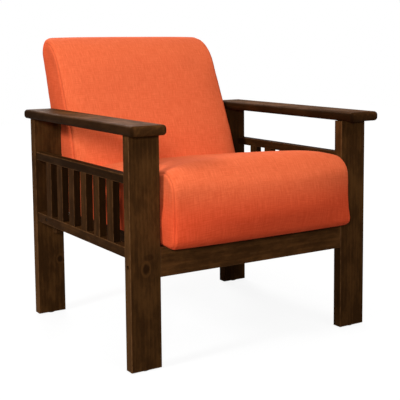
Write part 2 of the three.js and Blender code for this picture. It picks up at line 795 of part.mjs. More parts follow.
function roundedOutline(corners) {
  const points = [];
  const count = corners.length;
  corners.forEach((corner, i) => {
    const before = corners[(i + count - 1) % count];
    const after = corners[(i + 1) % count];
    const here = new THREE.Vector2(corner.y, corner.z);
    const to_before = new THREE.Vector2(before.y, before.z).sub(here).normalize();
    const to_after = new THREE.Vector2(after.y, after.z).sub(here).normalize();
    const half_angle = Math.acos(THREE.MathUtils.clamp(to_before.dot(to_after), -1, 1)) / 2;
    const normal_in = new THREE.Vector2(-to_before.y, to_before.x);
    const normal_out = new THREE.Vector2(to_after.y, -to_after.x);
    const steps = corner.steps || 0;
    if (!steps) {
      points.push(outlinePoint(here, normal_in.clone().add(normal_out).normalize(), before, corner, 0.5));
      return;
    }
    const centre = here.clone().add(to_before.clone().add(to_after).normalize()
      .multiplyScalar(corner.r / Math.sin(half_angle)));
    for (let k = 0; k <= steps; k += 1) {
      const share = k / steps;
      const sweep = Math.PI - 2 * half_angle;
      const normal = normal_in.clone().multiplyScalar(Math.sin((1 - share) * sweep))
        .add(normal_out.clone().multiplyScalar(Math.sin(share * sweep))).normalize();
      points.push(outlinePoint(centre.clone().addScaledVector(normal, corner.r), normal, before, corner, share));
    }
  });
  return points;
}

// share says how far the point has turned from the stretch before the corner to the one after it
function outlinePoint(point, normal, before, after, share) {
  return {
    y: point.x,
    z: point.y,
    normal,
    crown: THREE.MathUtils.lerp(before.crown, after.crown, share),
    edge: THREE.MathUtils.lerp(before.edge, after.edge, share),
  };
}


// A boxed cushion from x = -half to x = half with the given side outline, and sides that bulge a little.
// settle moves a place of its skin, for a shape that the outline alone can't give.
function cushionGeometry(outline, half, side_bulge, grow = 0, settle = (place) => place) {
  const positions = [];
  const faces = [];
  const ring = outline.length;
  const addRing = (across) => outline.forEach((point) => {
    const { x, inset } = across(point);
    const fall = 1 - Math.min(Math.abs(x) / half, 1) ** crown_power;
    const proud = point.crown * fall - inset + grow;
    positions.push(settle(new THREE.Vector3(x, point.y + point.normal.x * proud, point.z + point.normal.y * proud)));
  });
  const edgeRing = (side, turn) => addRing((point) => ({
    x: side * (half + grow - point.edge * (1 - Math.sin(turn))),
    inset: point.edge * (1 - Math.cos(turn)),
  }));
  const turnAt = (k) => (k / edge_stations) * (Math.PI / 2);
  for (let k = edge_stations; k > 0; k -= 1) edgeRing(-1, turnAt(k));
  for (let k = 0; k <= middle_stations; k += 1) {
    const share = (2 * k) / middle_stations - 1;
    addRing((point) => ({ x: share * (half + grow - point.edge), inset: 0 }));
  }
  for (let k = 1; k <= edge_stations; k += 1) edgeRing(1, turnAt(k));
  const rings = positions.length / ring;
  for (let i = 0; i < rings - 1; i += 1) {
    joinRings(faces, i * ring, (i + 1) * ring, ring);
  }
  closeSide(positions, faces, 0, ring, -side_bulge);
  closeSide(positions, faces, (rings - 1) * ring, ring, side_bulge);
  const geometry = new THREE.BufferGeometry().setFromPoints(positions);
  geometry.setIndex(faces);
  geometry.computeVertexNormals();
  return geometry;
}

function joinRings(faces, first, second, ring) {
  for (let k = 0; k < ring; k += 1) {
    const next = (k + 1) % ring;
    faces.push(first + k, second + next, second + k, first + k, first + next, second + next);
  }
}

function closeSide(positions, faces, first, ring, bulge) {
  const edge = positions.slice(first, first + ring);
  const centre = edge.reduce((sum, point) => sum.add(point), new THREE.Vector3()).divideScalar(ring);
  const outward = bulge > 0;
  let from = first;
  for (const share of side_ring_shares) {
    const start = positions.length;
    edge.forEach((point) => {
      const moved = centre.clone().lerp(point, share);
      moved.x += bulge * (1 - share * share);
      positions.push(moved);
    });
    if (outward) joinRings(faces, from, start, ring);
    else joinRings(faces, start, from, ring);
    from = start;
  }
  const tip = positions.length;
  positions.push(centre.clone().setX(centre.x + bulge));
  for (let k = 0; k < ring; k += 1) {
    const next = (k + 1) % ring;
    if (outward) faces.push(from + k, from + next, tip);
    else faces.push(from + k, tip, from + next);
  }
}

// Up the rear face, over the top and down the front face, then level along the foot
function backOutline() {
  const atFoot = (t) => backPoint((fit_gap - t * Math.sin(recline)) / Math.cos(recline), t);
  const waist = back_taper_start + back_taper_length;
  const taper = (back_foot_thickness - back_waist_thickness) / back_taper_length;
  const brow_t = back_waist_thickness - taper * (back_length - back_brow_height - waist);
  const rear = { crown: 0, edge: back_rear_edge_radius };
  const front = { crown: back_crown, edge: back_edge_radius };
  const top = { crown: back_top_crown, edge: back_edge_radius };
  return roundedOutline([
    { ...atFoot(back_panel_thickness), ...rear },
    { ...backPoint(back_length, back_panel_thickness), r: back_top_rear_radius, steps: small_corner_steps, ...top },
    { ...backPoint(back_length, back_top_thickness), r: back_top_radius, steps: small_corner_steps, ...front },
    { ...backPoint(back_length - back_brow_height, brow_t), r: back_brow_radius, steps: brow_steps, ...front },
    { ...backPoint(back_taper_start, back_foot_thickness), r: back_taper_length, steps: taper_steps, ...front },
    { ...atFoot(back_foot_thickness), crown: 0, edge: back_rear_edge_radius },
  ]);
}

// Towards its sides the top of the back falls away in round corners
function settleCorner(place) {
  const up = new THREE.Vector3(0, Math.sin(recline), Math.cos(recline));
  const s = place.clone().sub(new THREE.Vector3(0, back_foot_y, base_z)).dot(up);
  const share = THREE.MathUtils.clamp(1 - (back_length - s) / back_corner_reach, 0, 1);
  const over = Math.max(Math.abs(place.x) - (back_half_width - back_corner_radius), 0);
  const drop = back_corner_radius - Math.sqrt(Math.max(back_corner_radius ** 2 - over ** 2, 0));
  return place.addScaledVector(up, -drop * share);
}

function backCushionGeometry() {
  const cushion = cushionGeometry(backOutline(), back_half_width, back_side_bulge, 0, settleCorner);
  const frame_half = seat_frame_half_width + fit_gap;
  const seat_frame_space = boxBetween(
    [-frame_half, seat_frame_front_y, base_z - overrun],
    [frame_half, seat_frame_rear_y + fit_gap, frame_top_z + fit_gap],
  );
  const stile_half = stile_outer_x + fit_gap;
  const back_frame_space = boxBetween(
    [-stile_half, -(stile_rear_t + stile_depth + fit_gap), -overrun],
    [stile_half, overrun, stile_length + fit_gap],
  ).rotateX(-recline).translate(0, back_foot_y, base_z);
  return cut(cushion, [seat_frame_space, back_frame_space]);
}

function backPanelGeometry() {
  const x = back_half_width - back_panel_margin;
  return boxBetween(
    [-x, -back_panel_thickness + fit_gap, back_panel_margin],
    [x, 0, back_length - back_corner_radius - back_edge_radius],
  );
}

function seatOutline() {
  const slope = (seat_front_thickness - seat_rear_thickness) / (back_foot_front_y - seat_front_y);
  const tuck_y = back_foot_front_y + seat_tuck;
  const topZ = (y) => base_z + seat_front_thickness - slope * (y - seat_front_y);
  const underside_z = base_z + fit_gap;
  const top_rear_y = tuck_y + seat_rear_thickness * Math.tan(recline);
  const front = { crown: seat_front_crown, edge: seat_edge_radius };
  const foot = { crown: seat_front_crown, edge: seat_foot_edge_radius };
  const top = { crown: seat_crown, edge: seat_edge_radius };
  const hidden = { crown: 0, edge: seat_foot_edge_radius };
  return roundedOutline([
    { y: tuck_y, z: underside_z, ...hidden },
    { y: top_rear_y, z: topZ(top_rear_y), r: seat_hidden_radius, steps: 1, ...top },
    { y: seat_front_y, z: topZ(seat_front_y), r: seat_top_radius, steps: top_corner_steps, ...front },
    { y: seat_front_y, z: underside_z + seat_foot_edge_start, ...foot },
    { y: seat_front_y, z: underside_z - seat_foot_sag, r: seat_foot_radius, steps: small_corner_steps, ...hidden },
    { y: front_leg_y, z: underside_z, ...hidden },
  ]);
}

function seatCushionGeometry() {
  const cushion = cushionGeometry(seatOutline(), seat_half_width, seat_side_bulge);
  const back = cushionGeometry(backOutline(), back_half_width, back_side_bulge, fit_gap, settleCorner);
  const frame_half = seat_frame_half_width + fit_gap;
  const recess = boxBetween(
    [-frame_half, seat_frame_front_y - fit_gap, base_z - overrun],
    [frame_half, back_foot_y, frame_top_z + spring_height + seat_spring_arch],
  );
  return cut(cushion, [back, recess]);
}

const chair = new THREE.Group();
chair.add(sideFrame(-1));
chair.add(sideFrame(1));
chair.add(crossRails());
chair.add(seatFrame());
chair.add(backFrame());
add(chair, 'seat_cushion', seatCushionGeometry(), linen);
add(chair, 'back_cushion', backCushionGeometry(), linen);
const outer_back = new THREE.Group();
outer_back.position.set(0, back_foot_y, base_z);
outer_back.rotation.x = -recline;
add(outer_back, 'back_outer_panel', backPanelGeometry(), linen);
chair.add(outer_back);

// Moves the origin to the centre of the plan
chair.updateMatrixWorld(true);
const extent = new THREE.Box3().setFromObject(chair);
chair.position.y = -(extent.min.y + extent.max.y) / 2;

export default chair;
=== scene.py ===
import bpy
import math
from mathutils import Matrix, Vector, kdtree, noise
from mathutils.bvhtree import BVHTree


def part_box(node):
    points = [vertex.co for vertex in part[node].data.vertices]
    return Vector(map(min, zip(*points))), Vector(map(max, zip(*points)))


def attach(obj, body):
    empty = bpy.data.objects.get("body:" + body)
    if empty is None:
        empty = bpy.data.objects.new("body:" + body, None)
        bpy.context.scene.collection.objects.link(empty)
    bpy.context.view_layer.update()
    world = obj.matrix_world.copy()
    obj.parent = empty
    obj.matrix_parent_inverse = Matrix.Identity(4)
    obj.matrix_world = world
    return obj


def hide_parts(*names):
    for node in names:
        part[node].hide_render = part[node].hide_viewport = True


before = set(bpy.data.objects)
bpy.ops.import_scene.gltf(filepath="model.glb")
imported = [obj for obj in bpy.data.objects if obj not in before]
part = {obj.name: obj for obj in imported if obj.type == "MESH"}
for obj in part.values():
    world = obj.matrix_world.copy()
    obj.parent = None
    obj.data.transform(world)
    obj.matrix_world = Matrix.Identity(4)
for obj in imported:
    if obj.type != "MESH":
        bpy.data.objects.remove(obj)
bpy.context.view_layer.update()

# Legs: four boards of rubberwood, stained dark and lacquered satin. The wide faces look to the
# front and the rear, the long arrises are rounded over, and a knot sits low in the front left one.
LEGS = ["left_front_leg", "left_rear_leg", "right_front_leg", "right_rear_leg"]
LEG_SIZE = (0.080, 0.028, 0.5653)
ARRIS_WEAR = 0.0022
STAIN = (60, 37, 17)
STAIN_LIGHT = (87, 56, 27)
STAIN_DEEP = (32, 17, 7)


def chip(red, green, blue):
    """A colour chip in 0-255 steps, as the linear colour that a shader takes."""
    steps = [value / 255 for value in (red, green, blue)]
    linear = [s / 12.92 if s < 0.04045 else ((s + 0.055) / 1.055) ** 2.4 for s in steps]
    return (*linear, 1)


def put(tree, kind, feeds=None, **settings):
    """Places a shader node, with values or other nodes' outputs plugged into its inputs."""
    made = tree.nodes.new("ShaderNode" + kind)
    for name, value in settings.items():
        setattr(made, name, value)
    for place, feed in (feeds or {}).items():
        if isinstance(feed, bpy.types.NodeSocket):
            tree.links.new(feed, made.inputs[place])
        else:
            made.inputs[place].default_value = feed
    return made


def sums(tree, operation, first, second=0.0, third=0.0):
    feeds = {0: first, 1: second, 2: third}
    return put(tree, "Math", feeds, operation=operation).outputs[0]


def moved(tree, operation, first, second):
    return put(tree, "VectorMath", {0: first, 1: second}, operation=operation).outputs[0]


def step(tree, value, low, high, to_low=0.0, to_high=1.0):
    """Turns a range of a value into another range with soft ends."""
    feeds = {"Value": value, "From Min": low, "From Max": high, "To Min": to_low, "To Max": to_high}
    return put(tree, "MapRange", feeds, interpolation_type="SMOOTHSTEP").outputs[0]


def specks(tree, place, scale, detail=2.0, roughness=0.5):
    feeds = {"Vector": place, "Scale": scale, "Detail": detail, "Roughness": roughness}
    return put(tree, "TexNoise", feeds).outputs[0]


def tint(tree, share, first, second, blend="MIX"):
    feeds = {0: share, 6: first, 7: second}
    return put(tree, "Mix", feeds, data_type="RGBA", blend_type=blend).outputs[2]


def effect(name, takes, gives):
    """An empty node group with named sockets. takes and gives list (kind, name, value)."""
    tree = bpy.data.node_groups.new(name, "ShaderNodeTree")
    for side, sockets in (("INPUT", takes), ("OUTPUT", gives)):
        for kind, label, value in sockets:
            socket = tree.interface.new_socket(label, in_out=side, socket_type="NodeSocket" + kind)
            if value is not None:
                socket.default_value = value
    return tree, tree.nodes.new("NodeGroupInput").outputs, tree.nodes.new("NodeGroupOutput").inputs


def use(tree, group, feeds):
    made = tree.nodes.new("ShaderNodeGroup")
    made.node_tree = group
    for label, feed in feeds.items():
        if isinstance(feed, bpy.types.NodeSocket):
            tree.links.new(feed, made.inputs[label])
        else:
            made.inputs[label].default_value = feed
    return made.outputs


def coating(name, **constants):
    """A new material with its own shader. Constants go straight onto the shader's sockets."""
    made = bpy.data.materials.new(name)
    made.use_nodes = True
    tree = made.node_tree
    shader = tree.nodes["Principled BSDF"]
    for label, value in constants.items():
        shader.inputs[label.replace("_", " ")].default_value = value
    places = tree.nodes.new("ShaderNodeTexCoord").outputs
    return made, tree, shader.inputs, places


def dress(names, material):
    for name in names:
        part[name].data.materials.clear()
        part[name].data.materials.append(material)


timber, taken, given = effect(
    "timber figure",
    [("Vector", "Place", None), ("Color", "Stain", chip(*STAIN)), ("Color", "Light", chip(*STAIN_LIGHT)),
     ("Color", "Deep", chip(*STAIN_DEEP)), ("Float", "Ring Spacing", 0.009)],
    [("Color", "Colour", None), ("Float", "Roughness", None), ("Float", "Height", None)],
)
long_way = moved(timber, "MULTIPLY", taken["Place"], (1, 1, 0.09))
drift = put(timber, "TexNoise", {"Vector": long_way, "Scale": 11, "Detail": 3}).outputs["Color"]
drift = moved(timber, "MULTIPLY", moved(timber, "SUBTRACT", drift, (0.5, 0.5, 0.5)), (0.045, 0.045, 0))
from_pith = moved(timber, "ADD", moved(timber, "ADD", long_way, drift), (0.021, 0.064, 0))
flat_place = moved(timber, "MULTIPLY", from_pith, (1, 1, 0.25))
from_pith = put(timber, "VectorMath", {0: flat_place}, operation="LENGTH").outputs[1]
turns = sums(timber, "MULTIPLY", sums(timber, "DIVIDE", from_pith, taken["Ring Spacing"]), math.tau)
rings = sums(timber, "MULTIPLY_ADD", sums(timber, "SINE", turns), 0.5, 0.5)
rings = sums(timber, "POWER", rings, 2.2)
streaks = specks(timber, moved(timber, "MULTIPLY", taken["Place"], (1, 1, 0.06)), 230, 4, 0.62)
streaks = step(timber, streaks, 0.32, 0.70)
pores = specks(timber, moved(timber, "MULTIPLY", taken["Place"], (1, 1, 0.05)), 1500, 1, 0.4)
pores = step(timber, pores, 0.6, 0.72)
blotches = specks(timber, moved(timber, "MULTIPLY", taken["Place"], (1, 1, 0.42)), 34, 5, 0.62)
blotches = step(timber, blotches, 0.34, 0.68)
boards = specks(timber, taken["Place"], 5.5, 0)
boards = step(timber, boards, 0.3, 0.7)
figure = sums(timber, "MULTIPLY_ADD", rings, 0.14, sums(timber, "MULTIPLY", streaks, 0.10))
figure = sums(timber, "MULTIPLY_ADD", blotches, 0.46, figure)
figure = sums(timber, "MULTIPLY_ADD", boards, 0.24, figure)
colour = tint(timber, step(timber, figure, 0.16, 0.88), taken["Stain"], taken["Light"])
dark_lines = sums(timber, "MULTIPLY", sums(timber, "SUBTRACT", 1.0, streaks), 0.10)
colour = tint(timber, dark_lines, colour, taken["Deep"])
colour = tint(timber, sums(timber, "MULTIPLY", pores, 0.25), colour, taken["Deep"])
timber.links.new(colour, given["Colour"])
timber.links.new(sums(timber, "MULTIPLY_ADD", blotches, -0.10, 0.56), given["Roughness"])
relief = sums(timber, "MULTIPLY_ADD", pores, -0.8, sums(timber, "MULTIPLY", streaks, 0.5))
timber.links.new(relief, given["Height"])

# Handling rubs the stain thin where two faces meet. The mask is the way to the nearest edge of the
# board's own box, and the noise breaks it up.
worn, taken, given = effect(
    "worn arris",
    [("Vector", "In Box", None), ("Vector", "Box Size", None), ("Vector", "Place", None),
     ("Float", "Reach", 0.002)],
    [("Float", "Mask", None)],
)
off_centre = moved(worn, "ABSOLUTE", moved(worn, "SUBTRACT", taken["In Box"], (0.5, 0.5, 0.5)), (0, 0, 0))
to_faces = moved(worn, "MULTIPLY", moved(worn, "SUBTRACT", (0.5, 0.5, 0.5), off_centre), taken["Box Size"])
ways = put(worn, "SeparateXYZ", {0: to_faces}).outputs
near, far = sums(worn, "MINIMUM", ways[0], ways[1]), sums(worn, "MAXIMUM", ways[0], ways[1])
to_arris = sums(worn, "MAXIMUM", near, sums(worn, "MINIMUM", far, ways[2]))
rubbed = step(worn, sums(worn, "DIVIDE", to_arris, taken["Reach"]), 0.35, 1.3, 1.0, 0.0)
broken = step(worn, specks(worn, taken["Place"], 60, 3, 0.65), 0.36, 0.62, 0.25, 1.0)
worn.links.new(sums(worn, "MULTIPLY", rubbed, broken), given["Mask"])

# A knot: a dark heart where a branch left the stem, with a paler collar round it.
knot, taken, given = effect(
    "knot",
    [("Vector", "Place", None), ("Vector", "Centre", None), ("Vector", "Half Size", (1, 1, 1)),
     ("Float", "Raggedness", 0.35)],
    [("Float", "Heart", None), ("Float", "Collar", None)],
)
from_heart = moved(knot, "DIVIDE", moved(knot, "SUBTRACT", taken["Place"], taken["Centre"]), taken["Half Size"])
away = put(knot, "VectorMath", {0: from_heart}, operation="LENGTH").outputs[1]
ragged = sums(knot, "SUBTRACT", specks(knot, taken["Place"], 190, 3), 0.5)
away = sums(knot, "MULTIPLY_ADD", ragged, taken["Raggedness"], away)
knot.links.new(step(knot, away, 0.72, 1.1, 1.0, 0.0), given["Heart"])
rim = sums(knot, "ABSOLUTE", sums(knot, "SUBTRACT", away, 1.45))
knot.links.new(step(knot, rim, 0.12, 0.42, 1.0, 0.0), given["Collar"])

# Each knot or dark mark of the legs: its centre, half its size, and how dark and how ringed it is
KNOTS = [
    ((-0.3112, -0.320, 0.2435), (0.0078, 0.10, 0.0115), 0.65, 0.65),
    ((-0.3035, -0.320, 0.2700), (0.0140, 0.10, 0.0080), 0.40, 0.0),
    ((-0.2850, 0.243, 0.1530), (0.0075, 0.10, 0.0090), 0.70, 0.45),
]


# Painted light and shade on the legs, in these zones of a board: the box's lowest and highest corner, how
# wide its soft edge is, the shade it goes to and how far
# Painted light: the outer sides of the left legs are painted lighter towards the floor, in five stacked zones.
LEG_PAINTED_LIGHT_AND_SHADE = [
    ((-0.3545, -0.33, -0.01), (-0.3508, 0.28, top), 0.0016, (112, 76, 44), 0.09)
    for top in (0.21, 0.26, 0.31, 0.36, 0.41)
]
# Painted shade: the front legs are painted darker towards the bottom, and the rear legs' front faces darker between
# the side rails.
LEG_PAINTED_LIGHT_AND_SHADE += [
    ((-0.36, -0.33, -0.10), (0.36, -0.28, 0.30), 0.12, (24, 12, 5), 0.34),
    ((-0.36, 0.23, 0.30), (0.36, 0.245, 0.44), 0.06, (24, 12, 5), 0.55),
]
STAINS = [STAIN, STAIN_LIGHT, STAIN_DEEP]


def zone_mask(tree, places, low, high, soft, share):
    """share inside the box from low to high, and less and less across its soft edge."""
    middle = [(a + b) / 2 for a, b in zip(low, high)]
    half = [(b - a) / 2 for a, b in zip(low, high)]
    off = moved(tree, "ABSOLUTE", moved(tree, "SUBTRACT", places["Object"], middle), (0, 0, 0))
    off = put(tree, "SeparateXYZ", {0: moved(tree, "SUBTRACT", off, half)}).outputs
    off = sums(tree, "MAXIMUM", sums(tree, "MAXIMUM", off[0], off[1]), off[2])
    return step(tree, sums(tree, "DIVIDE", off, soft), -0.5, 0.5, share, 0.0)


def stained_board(name, grain, size, reach=ARRIS_WEAR, knots=(), zones=(), wear=0.55, painted_shade_ends=False,
                  stains=STAINS):
    """Stained and lacquered hardwood. grain is the axis that the board was sawn along. On a board with
    painted_shade_ends, the narrow faces at its front and rear are painted dark with shade."""
    made, tree, shader, places = coating(name, Specular_IOR_Level=0.004)
    ways = put(tree, "SeparateXYZ", {0: places["Object"]}).outputs
    order = {"X": (2, 1, 0), "Y": (0, 2, 1), "Z": (0, 1, 2)}[grain]
    place = put(tree, "CombineXYZ", {at: ways[way] for at, way in enumerate(order)}).outputs[0]
    stain, light, deep = [chip(*shade) for shade in stains]
    wood = use(tree, timber, {"Place": place, "Stain": stain, "Light": light, "Deep": deep})
    rub = use(tree, worn, {"In Box": places["Generated"], "Box Size": size, "Place": place, "Reach": reach})
    colour = wood["Colour"]
    for centre, half_size, heart, collar in knots:
        mark = use(tree, knot, {"Place": places["Object"], "Centre": centre, "Half Size": half_size})
        colour = tint(tree, sums(tree, "MULTIPLY", mark["Collar"], collar), colour, chip(*STAIN_LIGHT))
        colour = tint(tree, sums(tree, "MULTIPLY", mark["Heart"], heart), colour, chip(*STAIN_DEEP))
    # Zones where the colour goes towards a given shade; on the legs, arms and upper rails these are painted light and
    # shade.
    for low, high, soft, shade, share in zones:
        inside = zone_mask(tree, places, low, high, soft, share)
        colour = tint(tree, inside, colour, chip(*shade))
    # Painted shade: the narrow front and rear faces are painted near black, standing in for the shade between the
    # slats.
    if painted_shade_ends:
        along = put(tree, "SeparateXYZ", {0: places["Generated"]}).outputs[1]
        off = sums(tree, "ABSOLUTE", sums(tree, "SUBTRACT", along, 0.5))
        colour = tint(tree, step(tree, off, 0.475, 0.495, 0.0, 0.6), colour, chip(14, 7, 3))
    colour = tint(tree, sums(tree, "MULTIPLY", rub["Mask"], wear), colour, chip(112, 76, 46))
    tree.links.new(colour, shader["Base Color"])
    tree.links.new(wood["Roughness"], shader["Roughness"])
    bump = put(tree, "Bump", {"Strength": 0.25, "Distance": 0.0004, "Height": wood["Height"]})
    tree.links.new(bump.outputs[0], shader["Normal"])
    return made


shading = bpy.data.node_groups.new("smooth shading", "GeometryNodeTree")
shading.interface.new_socket("Geometry", in_out="INPUT", socket_type="NodeSocketGeometry")
shading.interface.new_socket("Geometry", in_out="OUTPUT", socket_type="NodeSocketGeometry")
came = shading.nodes.new("NodeGroupInput")
joined = shading.nodes.new("GeometryNodeMergeByDistance")
joined.inputs["Distance"].default_value = 0.00002
smoothed = shading.nodes.new("GeometryNodeSetShadeSmooth")
goes = shading.nodes.new("NodeGroupOutput")
shading.links.new(came.outputs[0], joined.inputs["Geometry"])
shading.links.new(joined.outputs[0], smoothed.inputs["Geometry"])
shading.links.new(smoothed.outputs[0], goes.inputs[0])


def ease(names, width, sharp=40):
    """Sands the last sharp edges of a board, and keeps its faces flat."""
    for name in names:
        board = part[name]
        board.modifiers.new("smooth shading", "NODES").node_group = shading
        planed = board.modifiers.new("planed faces", "DECIMATE")
        planed.decimate_type = "DISSOLVE"
        planed.angle_limit = math.radians(1)
        sanded = board.modifiers.new("sanded edges", "BEVEL")
        sanded.width = width
        sanded.segments = 2
        sanded.limit_method = "ANGLE"
        sanded.angle_limit = math.radians(sharp)
        flat = board.modifiers.new("flat faces", "WEIGHTED_NORMAL")
        flat.weight = 100


dress(LEGS, stained_board("leg wood", "Z", LEG_SIZE, knots=KNOTS, zones=LEG_PAINTED_LIGHT_AND_SHADE))
ease(LEGS, 0.0008, 60)

# Arm boards: one flat board on each side, with its edges rounded over, mortised onto the tenons of
# the legs and glued.
ARM_SIZE = (0.092, 0.652, 0.0245)
ARMS = ["left_arm", "right_arm"]
# Painted shade: the side faces and rounded edges of each arm board are painted dark, and the front ends somewhat
# darker.
ARM_PAINTED_SHADE = [
    ((edge - 0.0085, -0.37, 0.54), (edge + 0.0085, 0.30, 0.578), 0.007, (22, 11, 4), 0.80)
    for edge in (-0.366, -0.270, 0.270, 0.366)
]
ARM_PAINTED_SHADE.append(((-0.37, -0.37, 0.54), (0.37, -0.355, 0.59), 0.006, (22, 11, 4), 0.20))
ARM_PAINTED_SHADE.append(((0.27, -0.37, 0.54), (0.37, -0.355, 0.59), 0.006, (22, 11, 4), 0.35))
ARM_STAINS = [(68, 42, 20), (99, 63, 32), (34, 18, 8)]
dress(ARMS, stained_board(
    "arm wood", "Y", ARM_SIZE, reach=0.003, zones=ARM_PAINTED_SHADE, wear=0.3, stains=ARM_STAINS))
ease(ARMS, 0.0005, 60)

# Side rails and slats: an upper and a lower rail between the legs of each side, and six slats
# tenoned into both.
SIDE_RAILS = [side + rail for side in ("left_", "right_") for rail in ("upper_rail", "lower_rail")]
SLATS = [f"{side}_slat_{number}" for side in ("left", "right") for number in range(1, 7)]
SIDE_STAINS = [(50, 30, 13), (74, 46, 21), (25, 13, 5)]
# Painted shadow: the outer face of each upper rail is painted darker where the arm above shades it.
UNDER_ARM_PAINTED_SHADOW = [
    ((edge - 0.002, -0.31, 0.430), (edge + 0.002, 0.26, 0.4605), 0.003, (18, 9, 3), 0.60)
    for edge in (-0.349, 0.349)
]
dress(SIDE_RAILS, stained_board(
    "side rail wood", "Y", (0.023, 0.562, 0.0235), zones=UNDER_ARM_PAINTED_SHADOW, stains=SIDE_STAINS))
dress(SLATS, stained_board(
    "slat wood", "Z", (0.019, 0.032, 0.1635), reach=0.0014, painted_shade_ends=True, stains=SIDE_STAINS))
ease(SIDE_RAILS, 0.0006, 60)
ease(SLATS, 0.0004, 60)

# Cross rails and bearers: the front and rear rail join the two sides, and two bearers between them
# carry the side boards of the seat frame.
# Painted shade: the bearers get a near-black stain, as they are only seen in shade under the seat.
BEARER_PAINTED_SHADE = [(28, 15, 6), (44, 26, 12), (16, 8, 3)]
RAIL_ZONES = [((-0.018, -0.33, 0.240), (0.0, -0.29, 0.244), 0.008, (96, 64, 36), 0.55)]
dress(["front_seat_rail"], stained_board(
    "front rail wood", "X", (0.5436, 0.023, 0.071), reach=0.0018, zones=RAIL_ZONES, stains=ARM_STAINS))
dress(["rear_seat_rail"], stained_board("rear rail wood", "X", (0.6506, 0.024, 0.045), reach=0.0018))
dress(["left_seat_bearer", "right_seat_bearer"], stained_board(
    "bearer wood", "Y", (0.022, 0.481, 0.045), stains=BEARER_PAINTED_SHADE))
ease(["front_seat_rail", "rear_seat_rail"], 0.0006, 60)
ease(["left_seat_bearer", "right_seat_bearer"], 0.0005, 60)

# Knock-down fittings: at the front a long socket bolt goes through each leg into a barrel nut in the
# front rail, and at the rear a short one goes through the lower rail into a threaded insert.
BOLT_HEAD = (0.005, 0.005)
BOLT_SHANK = 0.003
SOCKET_FLAT = 0.0024
SOCKET_DEPTH = 0.0028
ROUND = 24

blackened, tree, shader, places = coating("blackened steel", Metallic=0.9, Specular_IOR_Level=0.3)
cloudy = specks(tree, places["Object"], 700, 3)
tree.links.new(tint(tree, cloudy, chip(16, 15, 14), chip(34, 31, 28)), shader["Base Color"])
tree.links.new(step(tree, cloudy, 0.3, 0.7, 0.34, 0.52), shader["Roughness"])
bump = put(tree, "Bump", {"Strength": 0.15, "Distance": 0.0001, "Height": cloudy})
tree.links.new(bump.outputs[0], shader["Normal"])

made, tree, shader, places = coating("zinc plate", Metallic=0.95)
cloudy = specks(tree, places["Object"], 420, 4, 0.6)
tree.links.new(tint(tree, cloudy, chip(128, 126, 120), chip(176, 174, 166)), shader["Base Color"])
tree.links.new(step(tree, cloudy, 0.3, 0.7, 0.28, 0.46), shader["Roughness"])
bump = put(tree, "Bump", {"Strength": 0.15, "Distance": 0.0001, "Height": cloudy})
tree.links.new(bump.outputs[0], shader["Normal"])
zinc = made


def new_piece(name, points, faces, material, smooth=True):
    """A mesh piece of the chair in metres, with its finish, that rides on the chair's one body."""
    mesh = bpy.data.meshes.new(name)
    mesh.from_pydata([tuple(point) for point in points], [], faces)
    mesh.materials.append(material)
    mesh.polygons.foreach_set("use_smooth", [smooth] * len(mesh.polygons))
    piece = bpy.data.objects.new(name, mesh)
    bpy.context.scene.collection.objects.link(piece)
    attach(piece, "root")
    return piece


def hexagon(angle):
    """How far a hexagon's side lies from its centre at an angle, with 1 as half its width across flats."""
    return 1 / math.cos((angle % (math.pi / 3)) - math.pi / 6)


def socket_bolt(name, replaced, side, length):
    low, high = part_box(replaced)
    middle = (low + high) / 2
    face = low.x if side < 0 else high.x
    head, height = BOLT_HEAD
    # rings from the bottom of the socket out and round to the tip: way in from the face, radius, hexagonal or round
    rings = [
        (SOCKET_DEPTH, SOCKET_FLAT * 0.96, True), (0.0002, SOCKET_FLAT, True), (0, SOCKET_FLAT * 1.06, True),
        (0, head - 0.0006, False), (0.0002, head - 0.0002, False), (0.0008, head, False),
        (height, head, False), (height, BOLT_SHANK, False),
        (length - 0.001, BOLT_SHANK, False), (length, BOLT_SHANK - 0.001, False),
    ]
    points, faces = [], []
    for way_in, radius, is_hexagon in rings:
        for k in range(ROUND):
            angle = math.tau * k / ROUND
            reach = radius * (hexagon(angle) if is_hexagon else 1)
            points.append((face - side * way_in, middle.y + reach * math.cos(angle), middle.z + reach * math.sin(angle)))
    for r in range(len(rings) - 1):
        for k in range(ROUND):
            a, b = r * ROUND + k, r * ROUND + (k + 1) % ROUND
            faces.append((a, b, b + ROUND, a + ROUND) if side > 0 else (a, a + ROUND, b + ROUND, b))
    first, last = list(range(ROUND)), list(range((len(rings) - 1) * ROUND, len(rings) * ROUND))
    faces += [first[::-1] if side > 0 else first, last if side > 0 else last[::-1]]
    bolt = new_piece(name, points, faces, blackened)
    rim = bolt.modifiers.new("crisp corners", "EDGE_SPLIT")
    rim.split_angle = math.radians(35)
    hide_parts(replaced)


for side, word in ((-1, "left"), (1, "right")):
    socket_bolt(f"{word}_front_socket_bolt", f"{word}_front_bolt", side, 0.112)
    socket_bolt(f"{word}_rear_socket_bolt", f"{word}_rear_bolt", side, 0.040)
HIDDEN_STEEL = [word + fitting for word in ("left_", "right_") for fitting in ("barrel_nut", "rear_insert")]
HIDDEN_STEEL += ["seat_screw_" + place for place in ("front_left", "front_right", "rear_left", "rear_right")]
dress(HIDDEN_STEEL, zinc)

